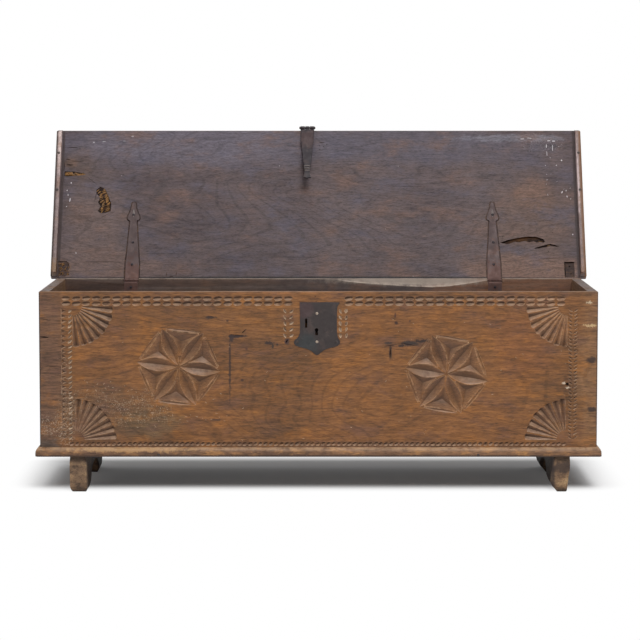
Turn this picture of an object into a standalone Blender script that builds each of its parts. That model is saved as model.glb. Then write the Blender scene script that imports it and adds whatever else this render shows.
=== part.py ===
"""Farmhouse chest: a dovetailed case on two foot runners, a cleated lid on strap hinges, a hasp and a lock.

Units are metres, +Z is up and the carved front faces -Y. The lid stands open against its stop and the
hasp hangs folded under the lid's front edge.
"""
import math

import bmesh
import bpy
from mathutils import Matrix, Vector

OBJECT_NAME = "farmhouse_chest"

# Fits
FIT = 0.0003
CUT_MARGIN = 0.002

# Case
CASE_LENGTH = 1.500
CASE_DEPTH = 0.480
CASE_HEIGHT = 0.445
WALL_THICKNESS = 0.026
END_THICKNESS = 0.027
PLANK_THICKNESS = 0.020
DOVETAIL_COUNT = 3
DOVETAIL_WIDTH = 0.045
DOVETAIL_SET = 0.005
DOVETAIL_FIRST = 0.098
DOVETAIL_PITCH = 0.1245
WANE_INSET = 0.482
WANE_HALF_LENGTH = 0.222
WANE_INTO_TOP = 0.011
WANE_DOWN_FACE = 0.020

# Foot runners
RUNNER_HEIGHT = 0.099
RUNNER_WIDTH = 0.048
RUNNER_LEFT_INSET = 0.107
RUNNER_RIGHT_INSET = 0.095
RUNNER_SETBACK = 0.002
FOOT_LENGTH = 0.105
FOOT_ROUNDING = 0.018
FOOT_TAPER = 0.008
FOOT_TAPER_HEIGHT = 0.030
ARCH_HEIGHT = 0.058

# Base moulding
MOULDING_HEIGHT = 0.025
MOULDING_PROJECTION = 0.012
MOULDING_FILLET = 0.010
MOULDING_NAIL_INSET = 0.320

# Lid
LID_THICKNESS = 0.024
LID_FRONT_OVERHANG = 0.004
LID_OPEN_ANGLE = math.radians(118)
LID_EDGE_ROUND = 0.003
CLEAT_THICKNESS = 0.013
CLEAT_DROP = 0.030
CLEAT_CLEARANCE = 0.0015
CLEAT_SETBACK = 0.0055
CLEAT_REAR_GAP = 0.016
CLEAT_NAIL_DROPS = (0.088, 0.207)

# Strap hinges
HINGE_LEFT_INSET = 0.214
HINGE_RIGHT_INSET = 0.246
IRON_THICKNESS = 0.003
KNUCKLE_RADIUS = 0.0055
HINGE_PIN_RADIUS = 0.003
HINGE_WIDTH = 0.039
MIDDLE_KNUCKLE = 0.013
KNUCKLE_GAP = 0.0005
PIN_STAND_OUT = 0.0015
STRAP_REACH = 0.249
STRAP_TAPER_START = 0.056
STRAP_NECK = 0.189
STRAP_NECK_WIDTH = 0.019
FINIAL_WIDTH = 0.035
LID_STRAP_NAILS = (0.051, 0.121, 0.209)
CASE_STRAP_DROP = 0.090
CASE_STRAP_NAILS = (0.023, 0.070)

# Lock
PLATE_X = -0.004
PLATE_TOP_DROP = 0.028
PLATE_HEIGHT = 0.143
PLATE_THICKNESS = 0.002
PLATE_TOP_WIDTH = 0.103
PLATE_WAIST_WIDTH = 0.094
PLATE_EAR_WIDTH = 0.124
SLOT_OFFSET = -0.029
SLOT_DROP = 0.056
SLOT_HEIGHT = 0.025
SLOT_WIDTH = 0.006
KEYHOLE_OFFSET = -0.001
KEYHOLE_DROP = 0.0745
KEYHOLE_RADIUS = 0.005
KEYHOLE_HEIGHT = 0.019
MORTISE_LENGTH = 0.082
MORTISE_HEIGHT = 0.056
MORTISE_DEPTH = 0.014
BOLT_LENGTH = 0.050
BOLT_HEIGHT = 0.009
BOLT_THICKNESS = 0.0022
BOLT_TRAVEL = 0.012
BOLT_REST_GAP = 0.0015
GUIDE_WIDTH = 0.006
GUIDE_WALL = 0.0025
SPRING_THICKNESS = 0.001
SPRING_RISE = 0.006

# Hasp
HASP_LENGTH = 0.203
HASP_THICKNESS = 0.004
HASP_WIDTH = 0.042
HASP_KNUCKLE_RADIUS = 0.005
HASP_PIN_RADIUS = 0.0028
HASP_PIN_OFFSET = 0.0065
HASP_PIN_DROP = 0.003
HASP_PIN_HEAD = 0.0045
HASP_REST_ANGLE = math.radians(13.9)
HASP_BEND_START = 0.092
HASP_BEND = math.radians(6)
BRACKET_THICKNESS = 0.0035
BRACKET_WIDTH = 0.040
BRACKET_LEAF = 0.110
BRACKET_NAILS = (0.035, 0.085)
STAPLE_HEIGHT = 0.020
STAPLE_WIDTH = 0.004
STAPLE_BAR = 0.0028
STAPLE_REACH = 0.0112

# Nails
NAIL_HEAD_RADIUS = 0.004
NAIL_HEAD_HEIGHT = 0.0016
NAIL_SHANK_RADIUS = 0.0014
NAIL_BITE = 0.012

# Carving
ROSETTE_LEFT_INSET = 0.3744
ROSETTE_LEFT_DROP = 0.202
ROSETTE_LEFT_TILT = math.radians(-6.2)
ROSETTE_RIGHT_INSET = 0.4057
ROSETTE_RIGHT_DROP = 0.222
ROSETTE_RIGHT_TILT = math.radians(-9.4)
ROSETTE_RADIUS = 0.1135
PETAL_WIDTH = 0.026
PETAL_DEPTH = 0.006
PETAL_HUB = 0.005
PIT_DEPTH = 0.006
PIT_MIDDLE = 0.71
PIT_REACH = 0.23
PIT_SPREAD = 1.25
FAN_INSET_X = 0.087
FAN_INSET_TOP = 0.038
FAN_INSET_BOTTOM = 0.044
FAN_INNER_RADIUS = 0.027
FAN_OUTER_RADIUS = 0.112
FAN_FLUTES = 8
FAN_FLUTE_SHARE = 0.42

# Places that follow from the sizes above
HALF_LENGTH = CASE_LENGTH / 2
CASE_BOTTOM = RUNNER_HEIGHT + FIT
CASE_TOP = RUNNER_HEIGHT + CASE_HEIGHT
AXIS_DROP = KNUCKLE_RADIUS + FIT
LID_UNDERSIDE = AXIS_DROP + FIT
LID_TOP = LID_UNDERSIDE + LID_THICKNESS
LEAF_FLOOR = CASE_TOP - AXIS_DROP - KNUCKLE_RADIUS - FIT
LEAF_WRAP = 0.3 * KNUCKLE_RADIUS
LID_REACH = CASE_DEPTH + LID_FRONT_OVERHANG
LID_LIP = (LID_UNDERSIDE * math.sin(LID_OPEN_ANGLE) - FIT) / -math.cos(LID_OPEN_ANGLE)
CLEAT_X = HALF_LENGTH + CLEAT_CLEARANCE + CLEAT_THICKNESS / 2
LID_LENGTH = CASE_LENGTH + 2 * (CLEAT_CLEARANCE + CLEAT_THICKNESS + CLEAT_SETBACK)
HINGES = (("left", HINGE_LEFT_INSET - HALF_LENGTH), ("right", HALF_LENGTH - HINGE_RIGHT_INSET))
RUNNERS = (("left", RUNNER_LEFT_INSET - HALF_LENGTH), ("right", HALF_LENGTH - RUNNER_RIGHT_INSET))
ROSETTES = ((ROSETTE_LEFT_INSET - HALF_LENGTH, CASE_TOP - ROSETTE_LEFT_DROP, ROSETTE_LEFT_TILT),
            (HALF_LENGTH - ROSETTE_RIGHT_INSET, CASE_TOP - ROSETTE_RIGHT_DROP, ROSETTE_RIGHT_TILT))
PLATE_TOP = CASE_TOP - PLATE_TOP_DROP
SLOT_X = PLATE_X + SLOT_OFFSET
SLOT_Z = PLATE_TOP - SLOT_DROP
KEYHOLE_X = PLATE_X + KEYHOLE_OFFSET
KEYHOLE_Z = PLATE_TOP - KEYHOLE_DROP
BOLT_TIP_X = SLOT_X + SLOT_WIDTH / 2 + BOLT_REST_GAP
STAPLE_DISTANCE = CASE_TOP + FIT - HASP_PIN_DROP - SLOT_Z

# Planes that outlines are drawn in: each takes (across, up, through) to the chest's X, Y and Z
FRONT_PLANE = Matrix(((1, 0, 0), (0, 0, -1), (0, 1, 0))).to_4x4()
SIDE_PLANE = Matrix(((0, 0, 1), (1, 0, 0), (0, 1, 0))).to_4x4()
TOP_PLANE = Matrix.Identity(4)
ALONG_X = Matrix.Rotation(math.pi / 2, 4, 'Y')
ALONG_Y = Matrix.Rotation(-math.pi / 2, 4, 'X')

# Fineness of round work and of merging
ROUND_STEPS = 16
NAIL_STEPS = 8
MERGE = 0.00001
FLAT_LIMIT = math.radians(0.5)


class Store:
    """Collections, finishes and reference frames that the pieces are added to."""

    def __init__(self):
        for leftover in list(bpy.data.objects):
            bpy.data.objects.remove(leftover)
        self.parts = self.collection(OBJECT_NAME)
        self.cutters = self.collection(OBJECT_NAME + "_cutters")
        self.case = self.empty("case_frame", None, (0, 0, 0), 0)
        hinge_axis = (0, CASE_DEPTH, CASE_TOP - AXIS_DROP)
        self.lid = self.empty("lid_frame", self.case, hinge_axis, -LID_OPEN_ANGLE)
        pin_axis = (SLOT_X, -LID_REACH - HASP_PIN_OFFSET, LID_UNDERSIDE - HASP_PIN_DROP)
        self.hasp = self.empty("hasp_frame", self.lid, pin_axis, math.pi / 2 - HASP_REST_ANGLE)
        self.bolt = self.empty("bolt_frame", self.case, (BOLT_TIP_X, 0, SLOT_Z), 0)
        self.front_oak = finish("carved_front_wood", (0.20, 0.085, 0.03), 0.45, 0.0)
        self.case_oak = finish("case_wood", (0.17, 0.085, 0.04), 0.55, 0.0)
        self.lid_oak = finish("lid_wood", (0.13, 0.095, 0.08), 0.7, 0.0)
        self.foot_oak = finish("foot_wood", (0.16, 0.09, 0.045), 0.65, 0.0)
        self.iron = finish("forged_iron", (0.06, 0.055, 0.055), 0.55, 0.8)
        self.worn_iron = finish("worn_iron", (0.12, 0.10, 0.09), 0.5, 0.8)

    def collection(self, name):
        """A new collection in the scene."""
        made = bpy.data.collections.new(name)
        bpy.context.scene.collection.children.link(made)
        return made

    def empty(self, name, parent, location, turn):
        """An empty that a group of pieces is placed by, turned about X."""
        made = bpy.data.objects.new(name, None)
        made.parent = parent
        made.location = location
        made.rotation_euler = (turn, 0, 0)
        self.parts.objects.link(made)
        return made

    def piece(self, name, mesh, look, frame):
        """A named piece of the chest, drawn in the coordinates of its frame."""
        mesh.name = name
        mesh.materials.append(look)
        made = bpy.data.objects.new(name, mesh)
        made.parent = frame
        self.parts.objects.link(made)
        return made

    def shape(self, piece, label, mesh, operation):
        """Cuts or joins a mesh, drawn in the piece's own frame, with a piece."""
        tool = bpy.data.objects.new(piece.name + "_" + label, mesh)
        tool.parent = piece.parent
        tool.hide_render = True
        tool.display_type = 'WIRE'
        self.cutters.objects.link(tool)
        change = piece.modifiers.new(label, 'BOOLEAN')
        change.operation = operation
        change.object = tool
        change.solver = 'EXACT'

    def cut(self, piece, label, mesh):
        """Takes a mesh out of a piece."""
        self.shape(piece, label, mesh, 'DIFFERENCE')

    def join(self, piece, label, mesh):
        """Adds a mesh to a piece."""
        self.shape(piece, label, mesh, 'UNION')


def finish(name, colour, roughness, metallic):
    """A plain surface finish."""
    made = bpy.data.materials.new(name)
    made.use_nodes = True
    shader = made.node_tree.nodes["Principled BSDF"]
    shader.inputs["Base Color"].default_value = (*colour, 1)
    shader.inputs["Roughness"].default_value = roughness
    shader.inputs["Metallic"].default_value = metallic
    return made


def mesh_of(solid):
    """Turns a bmesh into a mesh with its faces pointing out."""
    bmesh.ops.recalc_face_normals(solid, faces=solid.faces)
    mesh = bpy.data.meshes.new("shape")
    solid.to_mesh(mesh)
    solid.free()
    return mesh


def box(low, high):
    """A box between two corners."""
    solid = bmesh.new()
    size = [b - a for a, b in zip(low, high)]
    middle = [(a + b) / 2 for a, b in zip(low, high)]
    bmesh.ops.create_cube(solid, size=1, matrix=Matrix.Translation(middle) @ Matrix.Diagonal((*size, 1)))
    return mesh_of(solid)


def gather(meshes):
    """Several separate shapes in one mesh."""
    solid = bmesh.new()
    for mesh in meshes:
        solid.from_mesh(mesh)
        bpy.data.meshes.remove(mesh)
    return mesh_of(solid)


def rod(radius, low, high, place, steps=ROUND_STEPS):
    """A round bar from low to high along the local Z of a place."""
    solid = bmesh.new()
    matrix = place @ Matrix.Translation((0, 0, (low + high) / 2))
    bmesh.ops.create_cone(solid, cap_ends=True, segments=steps, radius1=radius, radius2=radius,
                          depth=high - low, matrix=matrix)
    return mesh_of(solid)


def outline(outlines, depth, plane, place=(0, 0, 0)):
    """Closed outlines, the first outer and the rest holes, thickened about a plane through a place."""
    curve = bpy.data.curves.new("outline", 'CURVE')
    curve.dimensions = '2D'
    curve.fill_mode = 'BOTH'
    curve.extrude = depth / 2
    for points in outlines:
        spline = curve.splines.new('POLY')
        spline.points.add(len(points) - 1)
        for target, (across, up) in zip(spline.points, points):
            target.co = (across, up, 0, 1)
        spline.use_cyclic_u = True
    drawn = bpy.data.objects.new("outline", curve)
    bpy.context.scene.collection.objects.link(drawn)
    bpy.context.view_layer.update()
    flat = bpy.data.meshes.new_from_object(drawn.evaluated_get(bpy.context.evaluated_depsgraph_get()))
    bpy.data.objects.remove(drawn)
    bpy.data.curves.remove(curve)
    solid = bmesh.new()
    solid.from_mesh(flat)
    bpy.data.meshes.remove(flat)
    bmesh.ops.remove_doubles(solid, verts=solid.verts, dist=MERGE)
    bmesh.ops.dissolve_degenerate(solid, edges=solid.edges, dist=MERGE)
    bmesh.ops.dissolve_limit(solid, angle_limit=FLAT_LIMIT, verts=solid.verts, edges=solid.edges)
    solid.transform(Matrix.Translation(place) @ plane)
    return mesh_of(solid)


def arc(centre, radius_across, radius_up, start, end, steps):
    """Points along part of an ellipse, from one angle in degrees to another."""
    points = []
    for step in range(steps + 1):
        angle = math.radians(start + (end - start) * step / steps)
        points.append((centre[0] + radius_across * math.cos(angle), centre[1] + radius_up * math.sin(angle)))
    return points


def mirrored(half):
    """A whole outline from its right half, listed from one end of the middle line to the other."""
    return half + [(-across, up) for across, up in reversed(half) if across > 0]


def trim(mesh, point, normal):
    """Cuts away what lies on the normal's side of a plane and closes the cut."""
    solid = bmesh.new()
    solid.from_mesh(mesh)
    bpy.data.meshes.remove(mesh)
    everything = solid.verts[:] + solid.edges[:] + solid.faces[:]
    bmesh.ops.bisect_plane(solid, geom=everything, dist=0.000001, plane_co=point, plane_no=normal,
                           clear_outer=True)
    rim = [edge for edge in solid.edges if edge.is_boundary]
    bmesh.ops.holes_fill(solid, edges=rim)
    return mesh_of(solid)


def smooth(piece, limit=40):
    """Shades a round piece smooth, apart from its sharp edges."""
    piece.data.shade_smooth()
    piece.data.set_sharp_from_angle(angle=math.radians(limit))


def turned(name, profile, steps):
    """A solid turned about Z, from a profile of (radius, height) points that runs from top to bottom."""
    mesh = bpy.data.meshes.new(name)
    points = [(radius, 0, height) for radius, height in profile]
    mesh.from_pydata(points, [(step, step + 1) for step in range(len(points) - 1)], [])
    blank = bpy.data.objects.new(name, mesh)
    bpy.context.scene.collection.objects.link(blank)
    screw = blank.modifiers.new("turn", 'SCREW')
    screw.steps = steps
    screw.render_steps = steps
    screw.use_merge_vertices = True
    screw.merge_threshold = MERGE
    bpy.context.view_layer.update()
    whole = bpy.data.meshes.new_from_object(blank.evaluated_get(bpy.context.evaluated_depsgraph_get()))
    bpy.data.objects.remove(blank)
    bpy.data.meshes.remove(mesh)
    solid = bmesh.new()
    solid.from_mesh(whole)
    bpy.data.meshes.remove(whole)
    bmesh.ops.remove_doubles(solid, verts=solid.verts, dist=MERGE)
    return mesh_of(solid)


def nail_mesh(length):
    """A hand-made nail with a low domed head, its head above z = 0 and its shank below."""
    head = [(0, NAIL_HEAD_HEIGHT), (NAIL_HEAD_RADIUS * 0.6, NAIL_HEAD_HEIGHT * 0.8), (NAIL_HEAD_RADIUS, 0)]
    shank = [(NAIL_SHANK_RADIUS, 0), (NAIL_SHANK_RADIUS, NAIL_SHANK_RADIUS - length), (0, -length)]
    return turned("nail", head + shank, NAIL_STEPS)


def drive_nails(store, name, places, inward, length, pieces, frame):
    """Drives a row of nails through pieces that share one frame, each into a hole of its own."""
    seat = Vector(inward) * -FIT
    facing = Vector((0, 0, 1)).rotation_difference(-Vector(inward)).to_matrix().to_4x4()
    spots = [Matrix.Translation(Vector(place) + seat) @ facing for place in places]
    for number, spot in enumerate(spots, 1):
        mesh = nail_mesh(length)
        mesh.transform(spot)
        nail = store.piece(name + "_" + str(number), mesh, store.worn_iron, frame)
        smooth(nail)
    for piece in pieces:
        holes = [rod(NAIL_SHANK_RADIUS + FIT, -length - FIT, CUT_MARGIN, spot, NAIL_STEPS) for spot in spots]
        store.cut(piece, name + "_holes", gather(holes))


def tail_heights():
    """Heights of the middles of the dovetails, from the top down."""
    return [CASE_TOP - DOVETAIL_FIRST - DOVETAIL_PITCH * number for number in range(DOVETAIL_COUNT)]


def end_board(store, name, side):
    """An end of the case, with dovetails that come through the front and the back."""
    shoulder = WALL_THICKNESS + FIT
    tip = DOVETAIL_WIDTH / 2
    root = tip - DOVETAIL_SET
    front = [(shoulder, CASE_TOP)]
    for middle in tail_heights():
        front += [(shoulder, middle + root), (0, middle + tip), (0, middle - tip), (shoulder, middle - root)]
    front.append((shoulder, CASE_BOTTOM))
    back = [(CASE_DEPTH - across, up) for across, up in reversed(front)]
    place = (side * (HALF_LENGTH - END_THICKNESS / 2), 0, 0)
    mesh = outline([front + back], END_THICKNESS, SIDE_PLANE, place)
    return store.piece(name, mesh, store.case_oak, store.case)


def dovetail_sockets(face, inward):
    """Cutters for the sockets in a long wall, from its outer face and the direction of its inside."""
    cutters = []
    slope = DOVETAIL_SET / WALL_THICKNESS
    near, far = -CUT_MARGIN, WALL_THICKNESS + CUT_MARGIN
    wide = DOVETAIL_WIDTH / 2 + FIT - slope * near
    narrow = DOVETAIL_WIDTH / 2 + FIT - slope * far
    length = END_THICKNESS + FIT + CUT_MARGIN
    for side in (-1, 1):
        place = (side * (HALF_LENGTH + CUT_MARGIN - length / 2), 0, 0)
        for middle in tail_heights():
            tail = [(face + inward * near, middle - wide), (face + inward * far, middle - narrow),
                    (face + inward * far, middle + narrow), (face + inward * near, middle + wide)]
            cutters.append(outline([tail], length, SIDE_PLANE, place))
    return gather(cutters)


def front_board(store):
    """The carved front, with sockets for the dovetails and a mortise behind the lock plate."""
    mesh = box((-HALF_LENGTH, 0, CASE_BOTTOM), (HALF_LENGTH, WALL_THICKNESS, CASE_TOP))
    board = store.piece("front_board", mesh, store.front_oak, store.case)
    store.cut(board, "dovetail_sockets", dovetail_sockets(0, 1))
    middle_z = (SLOT_Z + KEYHOLE_Z) / 2
    half = Vector((MORTISE_LENGTH / 2, 0, MORTISE_HEIGHT / 2))
    low = Vector((PLATE_X, -CUT_MARGIN, middle_z)) - half
    high = Vector((PLATE_X, MORTISE_DEPTH, middle_z)) + half
    store.cut(board, "lock_mortise", box(low, high))
    store.cut(board, "petals", gather([petal for rosette in ROSETTES for petal in petal_cutters(*rosette)]))
    store.cut(board, "pits", gather([pit for rosette in ROSETTES for pit in pit_cutters(*rosette)]))
    store.cut(board, "fans", gather(fan_cutters()))
    return board


def petal_cutters(across, up, tilt):
    """Six lens-shaped petals of a rosette, each cut to a valley along its middle."""
    cutters = []
    hub = Matrix.Translation((across, 0, up))
    half = (ROSETTE_RADIUS - PETAL_HUB) / 2
    for number in range(6):
        turn = hub @ Matrix.Rotation(-tilt - number * math.pi / 3, 4, 'Y')
        solid = bmesh.new()
        bmesh.ops.create_uvsphere(solid, u_segments=4, v_segments=8, radius=1)
        solid.transform(turn @ Matrix.Translation((PETAL_HUB + half, -FIT, 0))
                        @ Matrix.Diagonal((half, PETAL_DEPTH, PETAL_WIDTH / 2, 1))
                        @ Matrix.Rotation(math.pi / 2, 4, 'Y'))
        cutters.append(mesh_of(solid))
    return cutters


def pit_cutters(across, up, tilt):
    """Six three-sided pits of a rosette, one between each pair of petals."""
    cutters = []
    hub = Matrix.Translation((across, 0, up))
    reach = ROSETTE_RADIUS * PIT_REACH
    for number in range(6):
        between = hub @ Matrix.Rotation(-tilt - (number + 0.5) * math.pi / 3, 4, 'Y')
        solid = bmesh.new()
        bmesh.ops.create_cone(solid, cap_ends=True, segments=3, radius1=1, radius2=0, depth=1)
        middle = (ROSETTE_RADIUS * PIT_MIDDLE, (PIT_DEPTH - CUT_MARGIN) / 2, 0)
        solid.transform(between @ Matrix.Translation(middle)
                        @ Matrix.Diagonal((reach, PIT_DEPTH + CUT_MARGIN, reach * PIT_SPREAD, 1))
                        @ ALONG_Y @ Matrix.Rotation(math.pi, 4, 'Z'))
        cutters.append(mesh_of(solid))
    return cutters


def fan_cutters():
    """Tapered flutes that open from each corner of the front towards its middle."""
    cutters = []
    step = math.pi / 2 / FAN_FLUTES
    length = FAN_OUTER_RADIUS - FAN_INNER_RADIUS
    rows = ((CASE_TOP - FAN_INSET_TOP, -1), (CASE_BOTTOM + FAN_INSET_BOTTOM, 1))
    for side in (-1, 1):
        for height, upward in rows:
            corner = Matrix.Translation((side * (HALF_LENGTH - FAN_INSET_X), 0, height))
            for number in range(FAN_FLUTES):
                angle = (number + 0.5) * step
                direction = Vector((-side * math.cos(angle), 0, upward * math.sin(angle)))
                aim = Vector((0, 0, 1)).rotation_difference(direction).to_matrix().to_4x4()
                solid = bmesh.new()
                bmesh.ops.create_cone(solid, cap_ends=True, segments=NAIL_STEPS,
                                      radius1=FAN_INNER_RADIUS * step * FAN_FLUTE_SHARE,
                                      radius2=FAN_OUTER_RADIUS * step * FAN_FLUTE_SHARE, depth=length)
                solid.transform(corner @ aim @ Matrix.Translation((0, 0, FAN_INNER_RADIUS + length / 2)))
                cutters.append(mesh_of(solid))
    return cutters


def hinge_notches(reach):
    """Cutters for the notches in the top of the back that the hinges lie in."""
    half = HINGE_WIDTH / 2 + PIN_STAND_OUT + FIT
    return gather([box((across - half, CASE_DEPTH - WALL_THICKNESS - CUT_MARGIN, LEAF_FLOOR - FIT),
                       (across + half, CASE_DEPTH + CUT_MARGIN, CASE_TOP + reach)) for _, across in HINGES])


def back_board(store):
    """The back, notched for the hinges, with a waney hollow along its inner top edge."""
    inner = CASE_DEPTH - WALL_THICKNESS
    mesh = box((-HALF_LENGTH, inner, CASE_BOTTOM), (HALF_LENGTH, CASE_DEPTH, CASE_TOP))
    board = store.piece("back_board", mesh, store.case_oak, store.case)
    store.cut(board, "dovetail_sockets", dovetail_sockets(CASE_DEPTH, -1))
    store.cut(board, "hinge_notches", hinge_notches(CUT_MARGIN))
    solid = bmesh.new()
    bmesh.ops.create_uvsphere(solid, u_segments=12, v_segments=12, radius=1)
    solid.transform(Matrix.Translation((HALF_LENGTH - WANE_INSET, inner, CASE_TOP))
                    @ Matrix.Diagonal((WANE_HALF_LENGTH, WANE_INTO_TOP, WANE_DOWN_FACE, 1)) @ ALONG_X)
    store.cut(board, "wane", mesh_of(solid))
    return board


def bottom_planks(store):
    """Two planks that lie side by side on the runners, inside the walls."""
    half = HALF_LENGTH - END_THICKNESS - FIT
    front = WALL_THICKNESS + FIT
    middle = CASE_DEPTH / 2
    spans = (("bottom_plank_front", front, middle - FIT / 2),
             ("bottom_plank_rear", middle + FIT / 2, CASE_DEPTH - front))
    return [store.piece(name, box((-half, low, CASE_BOTTOM), (half, high, CASE_BOTTOM + PLANK_THICKNESS)),
                        store.case_oak, store.case) for name, low, high in spans]


def moulding_profile():
    """The moulding's section, as distance out from the case and height."""
    top = CASE_BOTTOM + MOULDING_HEIGHT
    fillet = CASE_BOTTOM + MOULDING_FILLET
    rounding = arc((FIT, fillet), MOULDING_PROJECTION - FIT, top - fillet, 0, 90, 5)
    return [(FIT, CASE_BOTTOM), (MOULDING_PROJECTION, CASE_BOTTOM)] + rounding


def base_mouldings(store):
    """The moulding round the foot of the case: a front length and two mitred returns."""
    section = [moulding_profile()]
    over = MOULDING_PROJECTION + CUT_MARGIN
    along_front = Matrix(((0, 0, -1), (-1, 0, 0), (0, 1, 0))).to_4x4()
    front = outline(section, CASE_LENGTH + 2 * over, along_front)
    for side in (-1, 1):
        corner = (side * (HALF_LENGTH - FIT), 0, 0)
        front = trim(front, corner, (side, 1, 0))
    pieces = [store.piece("base_moulding_front", front, store.case_oak, store.case)]
    length = CASE_DEPTH + over
    for name, side in (("left", -1), ("right", 1)):
        along_side = Matrix(((side, 0, 0), (0, 0, -side), (0, 1, 0))).to_4x4()
        place = (side * HALF_LENGTH, CASE_DEPTH - length / 2, 0)
        length_piece = outline(section, length, along_side, place)
        length_piece = trim(length_piece, (side * HALF_LENGTH, 0, 0), (-side, -1, 0))
        pieces.append(store.piece("base_moulding_" + name, length_piece, store.case_oak, store.case))
    for piece in pieces:
        smooth(piece)
    return pieces


def foot_runner(store, name, across):
    """A runner from front to back, sawn to an arch that leaves a foot at each end."""
    front = RUNNER_SETBACK
    back = CASE_DEPTH - RUNNER_SETBACK
    toe = FOOT_ROUNDING
    span = (back - front) / 2 - FOOT_LENGTH
    shape = [(front, RUNNER_HEIGHT)]
    shape += arc((front + toe, toe), toe, toe, 180, 270, 3)
    shape += arc(((front + back) / 2, 0), span, ARCH_HEIGHT, 180, 0, 10)
    shape += arc((back - toe, toe), toe, toe, 270, 360, 3)
    shape.append((back, RUNNER_HEIGHT))
    mesh = outline([shape], RUNNER_WIDTH, SIDE_PLANE, (across, 0, 0))
    for side in (-1, 1):
        sole_edge = (across + side * (RUNNER_WIDTH / 2 - FOOT_TAPER), 0, 0)
        mesh = trim(mesh, sole_edge, (side * FOOT_TAPER_HEIGHT, 0, -FOOT_TAPER))
    return store.piece(name + "_foot_runner", mesh, store.foot_oak, store.case)


def lid_board(store):
    """The lid, with a rear lip between the case ends that meets the back when the lid is open."""
    half = LID_LENGTH / 2
    right = [(half, -LID_REACH), (half, -CLEAT_REAR_GAP), (HALF_LENGTH, -CLEAT_REAR_GAP),
             (HALF_LENGTH, LID_LIP)]
    mesh = outline([mirrored(right)], LID_THICKNESS, TOP_PLANE, (0, 0, LID_UNDERSIDE + LID_THICKNESS / 2))
    board = store.piece("lid_board", mesh, store.lid_oak, store.lid)
    bevel = board.modifiers.new("worn_edges", 'BEVEL')
    bevel.width = LID_EDGE_ROUND
    bevel.segments = 2
    bevel.limit_method = 'ANGLE'
    return board


def lid_cleats(store):
    """Battens under the lid's ends that close over the case ends."""
    cleats = []
    for name, side in (("left", -1), ("right", 1)):
        middle = side * CLEAT_X
        low = (middle - CLEAT_THICKNESS / 2, -LID_REACH, LID_UNDERSIDE - CLEAT_DROP)
        high = (middle + CLEAT_THICKNESS / 2, -CLEAT_REAR_GAP, LID_UNDERSIDE - FIT)
        cleat = store.piece(name + "_lid_cleat", box(low, high), store.lid_oak, store.lid)
        bevel = cleat.modifiers.new("worn_edges", 'BEVEL')
        bevel.width = LID_EDGE_ROUND / 2
        bevel.segments = 1
        cleats.append(cleat)
    return cleats


def middle_room(across, clear, low_z, high_z):
    """A cutter that opens the middle of a leaf for the other leaf's knuckle."""
    half = MIDDLE_KNUCKLE / 2 + KNUCKLE_GAP
    return box((across - half, -clear, low_z), (across + half, clear, high_z))


def outer_room(across, clear, low_z, high_z):
    """Cutters that leave a leaf only its middle knuckle near the pin."""
    half = MIDDLE_KNUCKLE / 2
    return gather([box((across - HINGE_WIDTH, -clear, low_z), (across - half, clear, high_z)),
                   box((across + half, -clear, low_z), (across + HINGE_WIDTH, clear, high_z))])


def lid_strap(store, name, across):
    """The leaf on the underside of the lid: a tapering strap that ends in a leaf-shaped finial."""
    half = HINGE_WIDTH / 2
    neck = STRAP_NECK_WIDTH / 2
    finial = FINIAL_WIDTH / 2
    flare = STRAP_NECK + 0.3 * (STRAP_REACH - STRAP_NECK)
    right = [(half, LEAF_WRAP), (half, -STRAP_TAPER_START), (neck, -STRAP_NECK)]
    right += arc((neck, -flare), finial - neck, flare - STRAP_NECK, 60, 0, 3)
    right += [(finial * 0.88, -flare - 0.3 * (STRAP_REACH - flare)),
              (finial * 0.42, -flare - 0.72 * (STRAP_REACH - flare)), (0, -STRAP_REACH)]
    top = LID_UNDERSIDE - FIT
    mesh = outline([mirrored(right)], IRON_THICKNESS, TOP_PLANE, (across, 0, top - IRON_THICKNESS / 2))
    strap = store.piece(name + "_hinge_lid_strap", mesh, store.iron, store.lid)
    clear = KNUCKLE_RADIUS + KNUCKLE_GAP
    store.cut(strap, "knuckle_room", outer_room(across, clear, -LID_TOP, LID_TOP))
    axis = Matrix.Translation((across, 0, 0)) @ ALONG_X
    reach = MIDDLE_KNUCKLE / 2 - FIT
    store.join(strap, "knuckle", rod(KNUCKLE_RADIUS, -reach, reach, axis))
    store.cut(strap, "bore", rod(HINGE_PIN_RADIUS + FIT, -HINGE_WIDTH, HINGE_WIDTH, axis))
    return strap


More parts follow.
